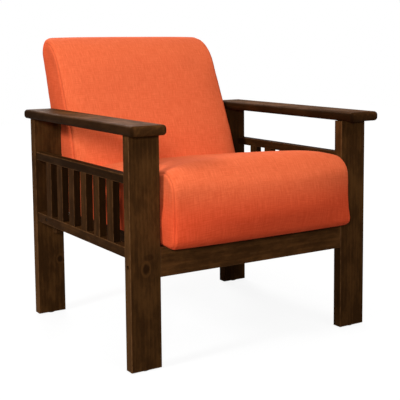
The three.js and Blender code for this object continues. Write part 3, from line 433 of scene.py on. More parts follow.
# Foot glides: a nylon disc with a moulded nail, driven into the foot of each leg.
GLIDES = [leg.replace("_leg", "_glide") for leg in LEGS]
made, tree, shader, places = coating("moulded nylon", Specular_IOR_Level=0.35)
grain = specks(tree, places["Object"], 1600, 2)
scuffs = step(tree, specks(tree, places["Object"], 120, 3, 0.7), 0.5, 0.68)
tree.links.new(tint(tree, scuffs, chip(44, 38, 34), chip(78, 72, 66)), shader["Base Color"])
tree.links.new(step(tree, scuffs, 0, 1, 0.5, 0.72), shader["Roughness"])
bump = put(tree, "Bump", {"Strength": 0.2, "Distance": 0.0002, "Height": grain})
tree.links.new(bump.outputs[0], shader["Normal"])
dress(GLIDES, made)
ease(GLIDES, 0.0003, 50)

# Seat and back frames: planed pine boards, glued and stapled, hidden inside the upholstery.
SEAT_BOARDS = ["seat_frame_left", "seat_frame_right", "seat_frame_front", "seat_frame_rear", "seat_spring_rail"]
BACK_STILES = ["back_left_stile", "back_right_stile"]
BACK_RAILS = ["back_top_rail", "back_lower_rail"]


def bare_pine(name, grain):
    made, tree, shader, places = coating(name, Specular_IOR_Level=0.3)
    ways = put(tree, "SeparateXYZ", {0: places["Object"]}).outputs
    order = {"X": (2, 1, 0), "Y": (0, 2, 1), "Z": (0, 1, 2)}[grain]
    place = put(tree, "CombineXYZ", {at: ways[way] for at, way in enumerate(order)}).outputs[0]
    shades = {"Stain": chip(206, 172, 122), "Light": chip(226, 198, 152), "Deep": chip(158, 112, 66)}
    wood = use(tree, timber, {"Place": place, "Ring Spacing": 0.006, **shades})
    tree.links.new(wood["Colour"], shader["Base Color"])
    tree.links.new(step(tree, wood["Roughness"], 0.4, 0.5, 0.72, 0.84), shader["Roughness"])
    bump = put(tree, "Bump", {"Strength": 0.3, "Distance": 0.0004, "Height": wood["Height"]})
    tree.links.new(bump.outputs[0], shader["Normal"])
    return made


dress(SEAT_BOARDS[:2], bare_pine("pine fore and aft", "Y"))
dress(SEAT_BOARDS[2:] + BACK_RAILS, bare_pine("pine across", "X"))
dress(BACK_STILES, bare_pine("pine upright", "Z"))
ease(SEAT_BOARDS + BACK_STILES + BACK_RAILS, 0.0006, 60)

# Sinuous springs: oiled spring wire, clipped between the seat's front board and its spring rail,
# and between the two rails of the back.
SPRINGS = [f"seat_spring_{n}" for n in (1, 2, 3)] + [f"back_spring_{n}" for n in (1, 2)]
made, tree, shader, places = coating("oiled spring wire", Metallic=0.9)
oil = specks(tree, places["Object"], 90, 3)
tree.links.new(tint(tree, oil, chip(66, 64, 62), chip(110, 106, 100)), shader["Base Color"])
tree.links.new(step(tree, oil, 0.3, 0.7, 0.3, 0.5), shader["Roughness"])
bump = put(tree, "Bump", {"Strength": 0.2, "Distance": 0.0002, "Height": oil})
tree.links.new(bump.outputs[0], shader["Normal"])
dress(SPRINGS, made)
for name in SPRINGS:
    part[name].modifiers.new("smooth shading", "NODES").node_group = shading

# Back cushion: a reclined block of foam under one wrapped cover of linen-weave cloth, boxed with a
# side panel at each end. It is thickest at the small of the back, and its top corners are round.
LINEN = (233, 105, 62)
LINEN_PALE = (243, 131, 88)
LINEN_DEEP = (196, 75, 39)
THREAD_PITCH = 0.0011
RECLINE = math.radians(17.5)
BACK_FOOT = (0.23333, 0.2902)
BACK_HALF_WIDTH = 0.2706
BACK_LENGTH = 0.505
PANEL_THICKNESS = 0.003
FOOT_THICKNESS = 0.110
WAIST_THICKNESS = 0.083
TAPER = (0.190, 0.235)
TOP_THICKNESS = 0.028
BROW = (0.052, 0.120)
TOP_CORNER = (0.036, 0.014, 0.110)
CLEARANCE = 0.0003

weave, taken, given = effect(
    "linen weave",
    [("Vector", "Place", None), ("Vector", "Facing", None), ("Color", "Cloth", chip(*LINEN)),
     ("Color", "Pale", chip(*LINEN_PALE)), ("Color", "Deep", chip(*LINEN_DEEP)), ("Float", "Pitch", THREAD_PITCH)],
    [("Color", "Colour", None), ("Float", "Roughness", None), ("Float", "Height", None)],
)
# Cloth on the front, top and rear runs across along X and down along Y and Z. On a side it lies in Y and Z.
ways = put(weave, "SeparateXYZ", {0: taken["Place"]}).outputs
facing = put(weave, "SeparateXYZ", {0: taken["Facing"]}).outputs
on_side = step(weave, sums(weave, "ABSOLUTE", facing[0]), 0.69, 0.71)
across_front = put(weave, "CombineXYZ", {0: ways[0], 1: sums(weave, "ADD", ways[1], ways[2])}).outputs[0]
across_side = put(weave, "CombineXYZ", {0: ways[1], 1: ways[2]}).outputs[0]
cloth_place = put(weave, "Mix", {0: on_side, 4: across_front, 5: across_side}, data_type="VECTOR").outputs[1]
weft = specks(weave, moved(weave, "MULTIPLY", cloth_place, (30, 430, 1)), 1, 3, 0.62)
warp = specks(weave, moved(weave, "MULTIPLY", cloth_place, (430, 26, 1)), 1, 3, 0.62)
slubs = specks(weave, moved(weave, "MULTIPLY", cloth_place, (32, 260, 1)), 1, 2, 0.5)
slubs = step(weave, slubs, 0.60, 0.74)
slubs_down = specks(weave, moved(weave, "MULTIPLY", cloth_place, (230, 26, 1)), 1, 2, 0.5)
slubs_down = step(weave, slubs_down, 0.62, 0.76)
turns = put(weave, "SeparateXYZ", {0: cloth_place}).outputs
over = sums(weave, "SINE", sums(weave, "DIVIDE", sums(weave, "MULTIPLY", turns[0], math.pi), taken["Pitch"]))
under = sums(weave, "SINE", sums(weave, "DIVIDE", sums(weave, "MULTIPLY", turns[1], math.pi), taken["Pitch"]))
checks = sums(weave, "MULTIPLY", over, under)
threads = sums(weave, "MAXIMUM", sums(weave, "ABSOLUTE", over), sums(weave, "ABSOLUTE", under))
lit = sums(weave, "MULTIPLY_ADD", sums(weave, "SUBTRACT", weft, 0.5), 1.3, 0.42)
lit = sums(weave, "MULTIPLY_ADD", sums(weave, "SUBTRACT", warp, 0.5), 1.6, lit)
lit = sums(weave, "MULTIPLY_ADD", checks, 0.06, lit)
cloudy = specks(weave, taken["Place"], 9, 3)
lit = sums(weave, "MULTIPLY_ADD", sums(weave, "SUBTRACT", cloudy, 0.5), 0.20, lit)
colour = tint(weave, step(weave, lit, 0.0, 1.0), taken["Deep"], taken["Pale"])
colour = tint(weave, 0.62, colour, taken["Cloth"])
colour = tint(weave, sums(weave, "MULTIPLY", slubs, 0.20), colour, taken["Pale"])
colour = tint(weave, sums(weave, "MULTIPLY", slubs_down, 0.28), colour, taken["Deep"])
weave.links.new(colour, given["Colour"])
weave.links.new(step(weave, threads, 0.5, 1.0, 0.97, 0.86), given["Roughness"])
relief = sums(weave, "MULTIPLY_ADD", checks, 0.35, threads)
relief = sums(weave, "MULTIPLY_ADD", slubs, 0.8, relief)
relief = sums(weave, "MULTIPLY_ADD", weft, 0.7, relief)
weave.links.new(relief, given["Height"])

linen, tree, shader, places = coating("orange linen", Specular_IOR_Level=0.04, Sheen_Weight=0.03, Sheen_Roughness=0.45)
shader["Sheen Tint"].default_value = chip(255, 190, 150)
cloth = use(tree, weave, {"Place": places["Object"], "Facing": places["Normal"]})
# Painted shade: the cloth is painted darker in a thin line along each seam's groove.
painted_seam_shade = put(tree, "Attribute", attribute_name="seam", attribute_type="GEOMETRY").outputs["Fac"]
colour = tint(tree, sums(tree, "MULTIPLY", painted_seam_shade, 0.28), cloth["Colour"], chip(120, 34, 12))
# Painted shade: below the seat's brow and on the back's side panels the cloth is painted a darker and redder orange,
# as it looks in shade.
shaded_below_brow = zone_mask(tree, places, (-0.295, -0.6, 0.0), (0.5, 0.10, 0.395), 0.11, 1.0)
shaded_back_sides = [zone_mask(tree, places, (low, 0.10, 0.2), (high, 0.6, 0.9), 0.016, 0.5)
              for low, high in ((-0.4, -0.262), (0.262, 0.4))]
painted_shade_share = sums(tree, "MAXIMUM", shaded_below_brow, sums(tree, "MAXIMUM", *shaded_back_sides))
colour = tint(tree, painted_shade_share, colour, moved(tree, "MULTIPLY", colour, (0.94, 0.56, 0.50)))
tree.links.new(colour, shader["Base Color"])
tree.links.new(cloth["Roughness"], shader["Roughness"])
bump = put(tree, "Bump", {"Strength": 0.35, "Distance": 0.0005, "Height": cloth["Height"]})
tree.links.new(bump.outputs[0], shader["Normal"])


def back_place(up, forward):
    """A place in the side view, up along the reclined back and forward from its rear face."""
    y, z = BACK_FOOT
    return Vector((y + up * math.sin(RECLINE) - forward * math.cos(RECLINE),
                   z + up * math.cos(RECLINE) + forward * math.sin(RECLINE)))


def side_outline(corners):
    """The rounded side view of a cushion. Each corner is (place, radius, crown, edge), where the crown
    is how far the stretch after it rises in the middle, and the edge is its rounding to the sides."""
    outline, posts = [], []
    count = len(corners)
    for i, (here, radius, crown, edge) in enumerate(corners):
        to_before = (corners[i - 1][0] - here).normalized()
        to_after = (corners[(i + 1) % count][0] - here).normalized()
        crown_before, edge_before = corners[i - 1][2:]
        half_angle = math.acos(max(-1, min(1, to_before.dot(to_after)))) / 2
        first = Vector((-to_before.y, to_before.x))
        last = Vector((to_after.y, -to_after.x))
        steps = 16 if radius else 0
        centre = here + (to_before + to_after).normalized() * (radius / math.sin(half_angle))
        sweep = math.pi - 2 * half_angle
        posts.append(len(outline) + steps // 2)
        for k in range(steps + 1):
            share = k / steps if steps else 0.5
            normal = (first * math.sin((1 - share) * sweep) + last * math.sin(share * sweep)).normalized()
            place = centre + normal * radius
            outline.append((*place, *normal, crown_before + (crown - crown_before) * share,
                            edge_before + (edge - edge_before) * share))
    return outline, posts


def spaced(stretch, count):
    """A stretch of an outline as count even steps, without its last point."""
    way = [0.0]
    for a, b in zip(stretch, stretch[1:]):
        way.append(way[-1] + math.dist(a[:2], b[:2]))
    result, at = [], 0
    for k in range(count):
        target = way[-1] * k / count
        while way[at + 1] < target:
            at += 1
        share = (target - way[at]) / max(way[at + 1] - way[at], 1e-9)
        result.append([p + (q - p) * share for p, q in zip(stretch[at], stretch[at + 1])])
    return result


# Across the cushion a ring of points follows another. At its edge they turn to the side in these
# angles, with three of them close together at the seam.
EDGE_TURNS = [90, 72, 58, 50, 45, 40, 30, 14]
SEAM_TURN = EDGE_TURNS.index(45)
MIDDLE_RINGS = 66
FOAM_ROUNDS = 14


def cushion_cover(outline, posts, counts, half_width, side_bulge, settle):
    """A boxed cover: rings over the top, front, foot and rear, and a woven grid for each side panel."""
    closed = outline + outline
    ring = []
    for i, count in enumerate(counts):
        start, stop = posts[i], posts[(i + 1) % len(posts)]
        stop += len(outline) if stop <= start else 0
        ring += spaced(closed[start:stop + 1], count)
    stations = [(-1, math.radians(turn)) for turn in EDGE_TURNS]
    stations += [(2 * k / MIDDLE_RINGS - 1, None) for k in range(MIDDLE_RINGS + 1)]
    stations += [(1, math.radians(turn)) for turn in EDGE_TURNS[::-1]]
    points = []
    for share, turn in stations:
        for y, z, normal_y, normal_z, crown, edge in ring:
            if turn is None:
                x, inset = share * (half_width - edge), 0.0
            else:
                x, inset = share * (half_width - edge * (1 - math.sin(turn))), edge * (1 - math.cos(turn))
            proud = crown * (1 - min(abs(x) / half_width, 1) ** 4) - inset
            length = math.hypot(normal_y, normal_z)
            points.append(settle(Vector((x, y + normal_y / length * proud, z + normal_z / length * proud))))
    around = len(ring)
    faces = []
    for station in range(len(stations) - 1):
        for k in range(around):
            a, b = station * around + k, station * around + (k + 1) % around
            faces.append((a, b, b + around, a + around))
    seams = [SEAM_TURN * around, (len(stations) - 1 - SEAM_TURN) * around]
    seams = [list(range(start, start + around)) for start in seams]
    for start, side in ((0, -1), ((len(stations) - 1) * around, 1)):
        faces += side_panel(points, start, counts, side, side_bulge)
    return points, faces, seams


def side_panel(points, start, counts, side, bulge):
    """Fills the ring that starts there with a grid between its four stretches."""
    rise, run = counts[0], counts[1]
    ring = [points[start + k] for k in range(sum(counts))]
    around = len(ring)
    grid = {}
    for i in range(rise + 1):
        for j in range(run + 1):
            edges = {
                (i, 0): i, (rise, j): rise + j, (i, run): rise + run + rise - i, (0, j): around - j,
            }
            known = edges.get((i, j))
            if known is not None and (i in (0, rise) or j in (0, run)):
                grid[i, j] = start + known % around
    for i in range(1, rise):
        for j in range(1, run):
            u, v = i / rise, j / run
            a, b = points[grid[i, 0]], points[grid[i, run]]
            c, d = points[grid[0, j]], points[grid[rise, j]]
            corners = [points[grid[at]] for at in ((0, 0), (0, run), (rise, 0), (rise, run))]
            place = a * (1 - v) + b * v + c * (1 - u) + d * u
            place -= corners[0] * (1 - u) * (1 - v) + corners[1] * (1 - u) * v
            place -= corners[2] * u * (1 - v) + corners[3] * u * v
            place.x += side * bulge * 16 * u * (1 - u) * v * (1 - v)
            grid[i, j] = len(points)
            points.append(place)
    faces = []
    for i in range(rise):
        for j in range(run):
            face = (grid[i, j], grid[i, j + 1], grid[i + 1, j + 1], grid[i + 1, j])
            faces.append(face if side < 0 else face[::-1])
    return faces


def places_and_normals(mesh):
    """Every point's place and normal, read before any of them moves."""
    return [point.co.copy() for point in mesh.vertices], [point.normal.copy() for point in mesh.vertices]


def set_places(mesh, places):
    mesh.vertices.foreach_set("co", [way for place in places for way in place])
    mesh.update()


def evened(mesh, moves, rounds):
    """Shares out each point's move among its neighbours, as thick foam under the cloth does."""
    ties = [tuple(edge.vertices) for edge in mesh.edges]
    counts = [1] * len(moves)
    for a, b in ties:
        counts[a] += 1
        counts[b] += 1
    for turn in range(rounds):
        shared = [move.copy() for move in moves]
        for a, b in ties:
            shared[a] += moves[b]
            shared[b] += moves[a]
        moves = [move / count for move, count in zip(shared, counts)]
    return moves


def stuff(cushion, held, slack, most, seams):
    """Fills the cover with foam: it starts a little slack, swells as cloth under pressure where it
    isn't held, and no point goes further than most. The seams are drawn in afterwards."""
    mesh = cushion.data
    places, normals = places_and_normals(mesh)
    free = [1 - held(place, normal) for place, normal in zip(places, normals)]
    start = [place - normal * slack * share for place, normal, share in zip(places, normals, free)]
    set_places(mesh, start)
    tight = cushion.vertex_groups.new(name="held")
    for index, share in enumerate(free):
        if share < 1:
            tight.add([index], 1 - share, "REPLACE")
    swelling = cushion.modifiers.new("swelling", "CLOTH")
    cloth = swelling.settings
    cloth.quality = 5
    cloth.mass = 0.25
    cloth.tension_stiffness = 18
    cloth.compression_stiffness = 18
    cloth.shear_stiffness = 8
    cloth.bending_stiffness = 1.5
    cloth.use_pressure = True
    cloth.uniform_pressure_force = 4
    cloth.effector_weights.gravity = 0
    cloth.vertex_group_mass = tight.name
    swelling.point_cache.frame_start = 1
    swelling.point_cache.frame_end = 20
    for moment in range(1, 21):
        bpy.context.scene.frame_set(moment)
    graph = bpy.context.evaluated_depsgraph_get()
    swollen = [vertex.co.copy() for vertex in cushion.evaluated_get(graph).data.vertices]
    cushion.modifiers.remove(swelling)
    cushion.vertex_groups.remove(tight)
    bpy.context.scene.frame_set(1)
    moves = [after - before for before, after in zip(start, swollen)]
    moves = [move * min(1, most / max(move.length, 1e-6)) for move in moves]
    moves = evened(mesh, moves, FOAM_ROUNDS)
    places = [before + move * share for before, move, share in zip(start, moves, free)]
    set_places(mesh, places)
    places, normals = places_and_normals(mesh)
    for index, share in enumerate(free):
        ripple = noise.noise(places[index] * 9) * 0.0010 + noise.noise(places[index] * 26) * 0.0003
        places[index] += normals[index] * ripple * share
    set_places(mesh, places)
    sew(cushion, seams)


def sew(cushion, seams):
    """Draws each seam into the foam, with the cloth puckered along it."""
    mesh = cushion.data
    places, normals = places_and_normals(mesh)
    tree = kdtree.KDTree(sum(len(seam) for seam in seams))
    for seam in seams:
        for index in seam:
            tree.insert(places[index], index)
    tree.balance()
    # A mask along each seam for the painted shade in its groove.
    painted_seam_shade = mesh.attributes.new("seam", "FLOAT", "POINT").data
    for index, here in enumerate(places):
        place, found, away = tree.find(here)
        if away < 0.03:
            depth = 0.0014 * math.exp(-(away / 0.0014) ** 2) + 0.0006 * math.exp(-(away / 0.006) ** 2)
            pucker = 0.0005 * math.exp(-(away / 0.012) ** 2) * noise.noise(place * 85)
            places[index] = here + normals[index] * (pucker - depth)
            painted_seam_shade[index].value = math.exp(-(away / 0.0014) ** 2)
    set_places(mesh, places)


def hollow(cushion, low, high, turn=0.0, pivot=(0, 0, 0)):
    """Cuts a box out of the foam for the boards that go into it."""
    corners = [(x, y, z) for x in (low[0], high[0]) for y in (low[1], high[1]) for z in (low[2], high[2])]
    faces = [(0, 1, 3, 2), (4, 6, 7, 5), (0, 4, 5, 1), (2, 3, 7, 6), (0, 2, 6, 4), (1, 5, 7, 3)]
    block = bpy.data.meshes.new("hollow")
    block.from_pydata(corners, [], faces)
    block.transform(Matrix.Translation(pivot) @ Matrix.Rotation(turn, 4, "X"))
    cutter = bpy.data.objects.new("hollow", block)
    bpy.context.scene.collection.objects.link(cutter)
    cut = cushion.modifiers.new("hollow", "BOOLEAN")
    cut.operation = "DIFFERENCE"
    cut.solver = "EXACT"
    cut.object = cutter
    bake(cushion)
    bpy.data.objects.remove(cutter)


def bake(piece):
    """Applies a piece's modifiers to its mesh."""
    graph = bpy.context.evaluated_depsgraph_get()
    made = bpy.data.meshes.new_from_object(piece.evaluated_get(graph))
    piece.modifiers.clear()
    piece.data = made


def refine(cushion):
    cushion.modifiers.new("finer", "SUBSURF").levels = 1
    bake(cushion)


def back_corner(place):
    """Towards the sides the top of the back falls away in round corners, more so at the rear."""
    up = Vector((0, math.sin(RECLINE), math.cos(RECLINE)))
    forward = (place - Vector((0, *BACK_FOOT))).dot(Vector((0, -up.z, up.y)))
    rear_radius, front_radius, reach = TOP_CORNER
    radius = rear_radius + (front_radius - rear_radius) * max(0, min(1, forward / 0.05))
    height = (place - Vector((0, *BACK_FOOT))).dot(up)
    share = max(0, min(1, 1 - (BACK_LENGTH - height) / reach))
    over = max(abs(place.x) - (BACK_HALF_WIDTH - radius), 0)
    drop = radius - math.sqrt(max(radius ** 2 - over ** 2, 0))
    return place - up * drop * share


def back_foot_place(forward):
    return back_place((CLEARANCE - forward * math.sin(RECLINE)) / math.cos(RECLINE), forward)


slimming = (FOOT_THICKNESS - WAIST_THICKNESS) / TAPER[1]
brow_forward = WAIST_THICKNESS - slimming * (BACK_LENGTH - BROW[0] - sum(TAPER))
outline, posts = side_outline([
    (Vector((0.1965, BACK_FOOT[1] + CLEARANCE)), 0, 0, 0.002),
    (back_foot_place(PANEL_THICKNESS) + Vector((0, -0.0065)), 0, 0, 0.002),
    (back_place(BACK_LENGTH, PANEL_THICKNESS), 0.014, 0.004, 0.012),
    (back_place(BACK_LENGTH, TOP_THICKNESS), 0.030, 0.009, 0.012),
    (back_place(BACK_LENGTH - BROW[0], brow_forward), BROW[1], 0.009, 0.012),
    (back_place(TAPER[0], FOOT_THICKNESS), TAPER[1], 0.009, 0.009),
    (back_foot_place(FOOT_THICKNESS), 0, 0, 0.002),
])
posts = [posts[corner] for corner in (1, 2, 3, 6)]
points, faces, seams = cushion_cover(
    outline, posts, (64, 12, 64, 12), BACK_HALF_WIDTH, 0.001, back_corner)
back_cushion = new_piece("linen_back_cushion", points, faces, linen)


def back_held(place, normal):
    """Held where the cover lies on the back frame's rear, on the seat frame or behind the seat."""
    off_rear = (Vector((place.y, place.z)) - back_place(0, 0)).dot(Vector((-math.cos(RECLINE), math.sin(RECLINE))))
    on_rear = 1 - min(max((off_rear - 0.006) / 0.02, 0), 1)
    on_foot = 1 - min(max((place.z - 0.32) / 0.09, 0), 1)
    return max(on_rear, on_foot)


stuff(back_cushion, back_held, slack=0.002, most=0.005, seams=seams)
refine(back_cushion)
frame_low, frame_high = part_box("seat_frame_left"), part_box("seat_frame_right")
hollow(back_cushion, (frame_low[0].x - CLEARANCE, frame_low[0].y, 0.25),
       (frame_high[1].x + CLEARANCE, frame_high[1].y + CLEARANCE, frame_high[1].z + CLEARANCE))
stile_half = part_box("back_right_stile")[1].x + CLEARANCE
hollow(back_cushion, (-stile_half, -0.0436, -0.02), (stile_half, 0.02, 0.4523), -RECLINE, (0, *BACK_FOOT))
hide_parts("back_cushion")

# Outer back: a stiff panel in the same linen, tacked over the rear of the back frame. Its lower edge
# comes down to the foot of the frame.
PANEL_MARGIN = 0.011
PANEL_FOOT = 0.0015
PANEL_LENGTH = 0.505 - 0.027 - 0.012 - PANEL_FOOT
ACROSS, UP = 60, 52
half = BACK_HALF_WIDTH - PANEL_MARGIN
points, faces = [], []
for layer in (0, 1):
    for j in range(UP + 1):
        for i in range(ACROSS + 1):
            u, v = 2 * i / ACROSS - 1, 2 * j / UP - 1
            to_edge = min(half * (1 - abs(u)), PANEL_LENGTH / 2 * (1 - abs(v)))
            roll = 0.0012 * math.exp(-(to_edge / 0.004) ** 2)
            swell = 0.0010 * (1 - u ** 4) * (1 - v ** 4) + noise.noise((u * 3, v * 3, 0)) * 0.0003
            forward = roll - swell if layer == 0 else PANEL_THICKNESS - 0.0006
            y, z = back_place(PANEL_FOOT + PANEL_LENGTH * (v + 1) / 2, forward)
            points.append((half * u, y, z))
row, sheet = ACROSS + 1, (ACROSS + 1) * (UP + 1)
for j in range(UP):
    for i in range(ACROSS):
        a = j * row + i
        faces.append((a, a + 1, a + 1 + row, a + row))
        faces.append((sheet + a, sheet + a + row, sheet + a + 1 + row, sheet + a + 1))
rim = [i for i in range(ACROSS)] + [j * row + ACROSS for j in range(UP)]
rim += [UP * row + i for i in range(ACROSS, 0, -1)] + [j * row for j in range(UP, 0, -1)]
for a, b in zip(rim, rim[1:] + rim[:1]):
    faces.append((b, a, a + sheet, b + sheet))
outer_panel = new_piece("linen_outer_back", points, faces, linen)
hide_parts("back_outer_panel")

# Seat cushion: a deep block of foam in the same linen, crowned in the middle and boxed at the sides.
# It sits over the seat frame like a cap, and its rear end is pressed against the back cushion.
SEAT_HALF_WIDTH = 0.266
SEAT_FRONT_Y = -0.37267
SEAT_BASE_Z = 0.2902
SEAT_HEIGHTS = (0.184, 0.122)
SEAT_TUCK = 0.030
SEAT_BELLY = 0.024
SEAT_HEM = 0.020
SEAT_BROW = 0.050
SEAT_CROWN = 0.019
CORNER_TUCK = (0.002, 0.005, 0.030)
back_front_y = BACK_FOOT[0] - FOOT_THICKNESS / math.cos(RECLINE)
slope = (SEAT_HEIGHTS[0] - SEAT_HEIGHTS[1]) / (back_front_y - SEAT_FRONT_Y)


def seat_top(y):
    return SEAT_BASE_Z + SEAT_HEIGHTS[0] - slope * (y - SEAT_FRONT_Y)


rear_top_y = back_front_y + SEAT_TUCK + SEAT_HEIGHTS[1] * math.tan(RECLINE)
underside = SEAT_BASE_Z + CLEARANCE
outline, posts = side_outline([
    (Vector((back_front_y + SEAT_TUCK, underside)), 0, 0, 0.006),
    (Vector((rear_top_y, seat_top(rear_top_y))), 0.014, SEAT_CROWN, 0.013),
    (Vector((SEAT_FRONT_Y, seat_top(SEAT_FRONT_Y))), SEAT_BROW, 0.006, 0.013),
    (Vector((SEAT_FRONT_Y, underside + 0.042)), 0, 0.006, 0.011),
    (Vector((SEAT_FRONT_Y, underside - 0.005)), SEAT_HEM, 0, 0.011),
    (Vector((-0.32167, underside)), 0, 0, 0.006),
])
posts = [posts[corner] for corner in (0, 1, 2, 4)]


def seat_belly(place):
    """The front swells between its brow and its hem, most of all in the middle. At the foot of each
    front corner the cloth is folded to a small tuck."""
    up = max(0, min(1, (place.z - SEAT_BASE_Z) / 0.165)) ** 1.1
    at_front = max(0, min(1, (-0.30 - place.y) / 0.06))
    swell = SEAT_BELLY * math.sin(math.pi * up) * at_front * (1 - min(abs(place.x) / SEAT_HALF_WIDTH, 1) ** 2)
    proud, reach, height = CORNER_TUCK
    off_corner = math.hypot(abs(place.x) - SEAT_HALF_WIDTH + proud, place.y - SEAT_FRONT_Y - proud)
    tuck = proud * math.exp(-(off_corner / reach) ** 2) * max(0, min(1, 1 - (place.z - SEAT_BASE_Z) / height))
    return place + Vector((math.copysign(0.3 * tuck, place.x), -swell - tuck, 0))


points, faces, seams = cushion_cover(
    outline, posts, (24, 66, 24, 66), SEAT_HALF_WIDTH, 0.004, seat_belly)
seat_cushion = new_piece("linen_seat_cushion", points, faces, linen)


def seat_held(place, normal):
    """Held at the hem, where it is stapled under the frame, and where the back cushion covers it."""
    at_hem = 1 - min(max((place.z - 0.300) / 0.035, 0), 1)
    under_back = min(max((place.y - 0.12) / 0.03, 0), 1)
    return max(at_hem, under_back)


stuff(seat_cushion, seat_held, slack=0.001, most=0.005, seams=seams)

# The back cushion presses its own form into the rear of the seat.
graph = bpy.context.evaluated_depsgraph_get()
pressing = BVHTree.FromObject(back_cushion, graph)
places, normals = places_and_normals(seat_cushion.data)
for index, here in enumerate(places):
    if here.y > 0.08:
        place, normal, face, away = pressing.find_nearest(here)
        if (here - place).dot(normal) < 0.0012:
            places[index] = place + normal * 0.0012
set_places(seat_cushion.data, places)
refine(seat_cushion)
hollow(seat_cushion, (frame_low[0].x - CLEARANCE, frame_low[0].y - CLEARANCE, 0.25),
       (frame_high[1].x + CLEARANCE, 0.25, frame_high[1].z + 0.0104))
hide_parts("seat_cushion")

# Dust cover: a thin black sheet of spunbonded cloth, stapled under the seat frame.
made, tree, shader, places = coating("black spunbond", Specular_IOR_Level=0.25)
fibres = specks(tree, moved(tree, "MULTIPLY", places["Object"], (1, 0.3, 1)), 900, 3, 0.7)
dimples = put(tree, "TexVoronoi", {"Vector": places["Object"], "Scale": 480}).outputs[0]
tree.links.new(tint(tree, fibres, chip(22, 21, 22), chip(46, 45, 46)), shader["Base Color"])
tree.links.new(step(tree, fibres, 0.3, 0.7, 0.96, 0.84), shader["Roughness"])
bump = put(tree, "Bump", {"Strength": 0.4, "Distance": 0.0003, "Height": dimples})
tree.links.new(bump.outputs[0], shader["Normal"])
low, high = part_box("seat_dust_cover")
ACROSS, ALONG = 50, 56
points, faces = [], []
for layer in (0, 1):
    for j in range(ALONG + 1):
        for i in range(ACROSS + 1):
            u, v = i / ACROSS, j / ALONG
            x, y = low.x + (high.x - low.x) * u, low.y + (high.y - low.y) * v
            between = max(0, 1 - (x / 0.226) ** 2)
            free = between * max(0, min(1, (y + 0.32) / 0.02)) * max(0, min(1, (0.19 - y) / 0.02))
            hang = free * (0.0016 + 0.0012 * noise.noise((x * 14, y * 9, 0.3)))
            points.append((x, y, high.z - 0.0002 - hang - (0.0005 if layer == 0 else 0)))
row, sheet = ACROSS + 1, (ACROSS + 1) * (ALONG + 1)
for j in range(ALONG):
    for i in range(ACROSS):
        a = j * row + i
        faces.append((a, a + row, a + 1 + row, a + 1))
        faces.append((sheet + a, sheet + a + 1, sheet + a + 1 + row, sheet + a + row))
rim = [i for i in range(ACROSS)] + [j * row + ACROSS for j in range(ALONG)]
rim += [ALONG * row + i for i in range(ACROSS, 0, -1)] + [j * row for j in range(ALONG, 0, -1)]
for a, b in zip(rim, rim[1:] + rim[:1]):
    faces.append((a, b, b + sheet, a + sheet))
dust_cover = new_piece("spunbond_dust_cover", points, faces, made)
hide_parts("seat_dust_cover")

# Floor: a pale studio floor that shows the chair's soft shadow. The camera sees it as white.
floor_mesh = bpy.data.meshes.new("floor")
floor_mesh.from_pydata([(-6, -6, 0), (6, -6, 0), (6, 6, 0), (-6, 6, 0)], [], [(0, 1, 2, 3)])
floor = bpy.data.objects.new("floor", floor_mesh)
bpy.context.scene.collection.objects.link(floor)
paper = bpy.data.materials.new("pale paper")
paper.use_nodes = True
tree = paper.node_tree
shader = tree.nodes["Principled BSDF"]
shader.inputs["Base Color"].default_value = (0.25, 0.25, 0.25, 1)
shader.inputs["Roughness"].default_value = 1
shader.inputs["Specular IOR Level"].default_value = 0


def seen_white(tree):
    rays = tree.nodes.new("ShaderNodeLightPath").outputs
    seen = sums(tree, "ADD", rays["Is Camera Ray"], rays["Is Glossy Ray"])
    return sums(tree, "MINIMUM", sums(tree, "ADD", seen, rays["Is Transmission Ray"]), 1.0)


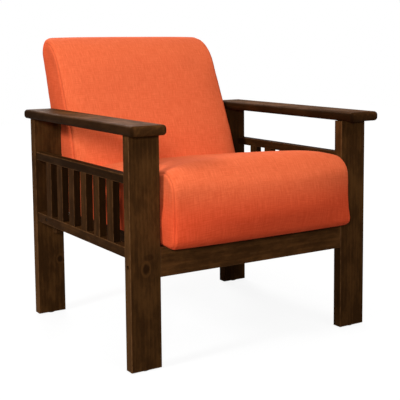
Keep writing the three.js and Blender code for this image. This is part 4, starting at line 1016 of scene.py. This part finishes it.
far = put(tree, "VectorMath", {0: tree.nodes.new("ShaderNodeTexCoord").outputs["Object"]}, operation="LENGTH").outputs[1]
bright = put(tree, "Emission", {"Color": (1, 1, 1, 1), "Strength": step(tree, far, 0.8, 2.2, 0.9, 1.0)})
pale = put(tree, "BsdfDiffuse", {"Color": (0.13, 0.13, 0.13, 1)})
seen = put(tree, "AddShader", {0: bright.outputs[0], 1: pale.outputs[0]})
choice = put(tree, "MixShader", {0: seen_white(tree), 1: shader.outputs[0], 2: seen.outputs[0]})
tree.links.new(choice.outputs[0], tree.nodes["Material Output"].inputs["Surface"])
floor_mesh.materials.append(paper)

# Studio light: a small lamp just above the camera, a soft box high on the left, soft fills above
# the front, overhead and behind, and a little light from the pale room.
world = bpy.data.worlds.new("studio")
bpy.context.scene.world = world
world.use_nodes = True
tree = world.node_tree
tree.nodes["Background"].inputs["Color"].default_value = (1, 1, 1, 1)
rays = seen_white(tree)
tree.links.new(sums(tree, "MULTIPLY_ADD", rays, 0.94, 0.06), tree.nodes["Background"].inputs["Strength"])


def soft_lamp(name, place, aim, size, power):
    lamp = bpy.data.lights.new(name, "AREA")
    lamp.shape = "DISK"
    lamp.size = size
    lamp.energy = power
    stand = bpy.data.objects.new(name, lamp)
    stand.location = place
    stand.rotation_euler = (Vector(aim) - Vector(place)).to_track_quat("-Z", "Y").to_euler()
    bpy.context.scene.collection.objects.link(stand)


soft_lamp("camera lamp", (-1.5, -2.2, 1.02), (0, 0, 0.4), 0.25, 23)
soft_lamp("left soft box", (-3.0, -0.6, 2.1), (0, 0, 0.4), 0.6, 71)
soft_lamp("front fill", (0.4, -2.6, 3.2), (0, 0.1, 0.5), 2.0, 41)
soft_lamp("overhead", (0, -0.4, 3.4), (0, 0.1, 0.4), 2.0, 34)
soft_lamp("rear fill", (0.8, 3.0, 2.2), (0, 0.1, 0.4), 1.6, 75)

# Camera: where the photograph was taken from, a little above the arms, left of the front.
lens = bpy.data.cameras.new("camera")
lens.lens = 82.453
lens.shift_x = -0.0209
lens.shift_y = -0.15
camera = bpy.data.objects.new("camera", lens)
camera.location = (-1.2905, -2.1457, 0.7655)
camera.rotation_euler = [math.radians(angle) for angle in (83.8249, 0.4482, -32.3155)]
bpy.context.scene.collection.objects.link(camera)
bpy.context.scene.camera = camera
bpy.context.scene.view_settings.view_transform = "Standard"
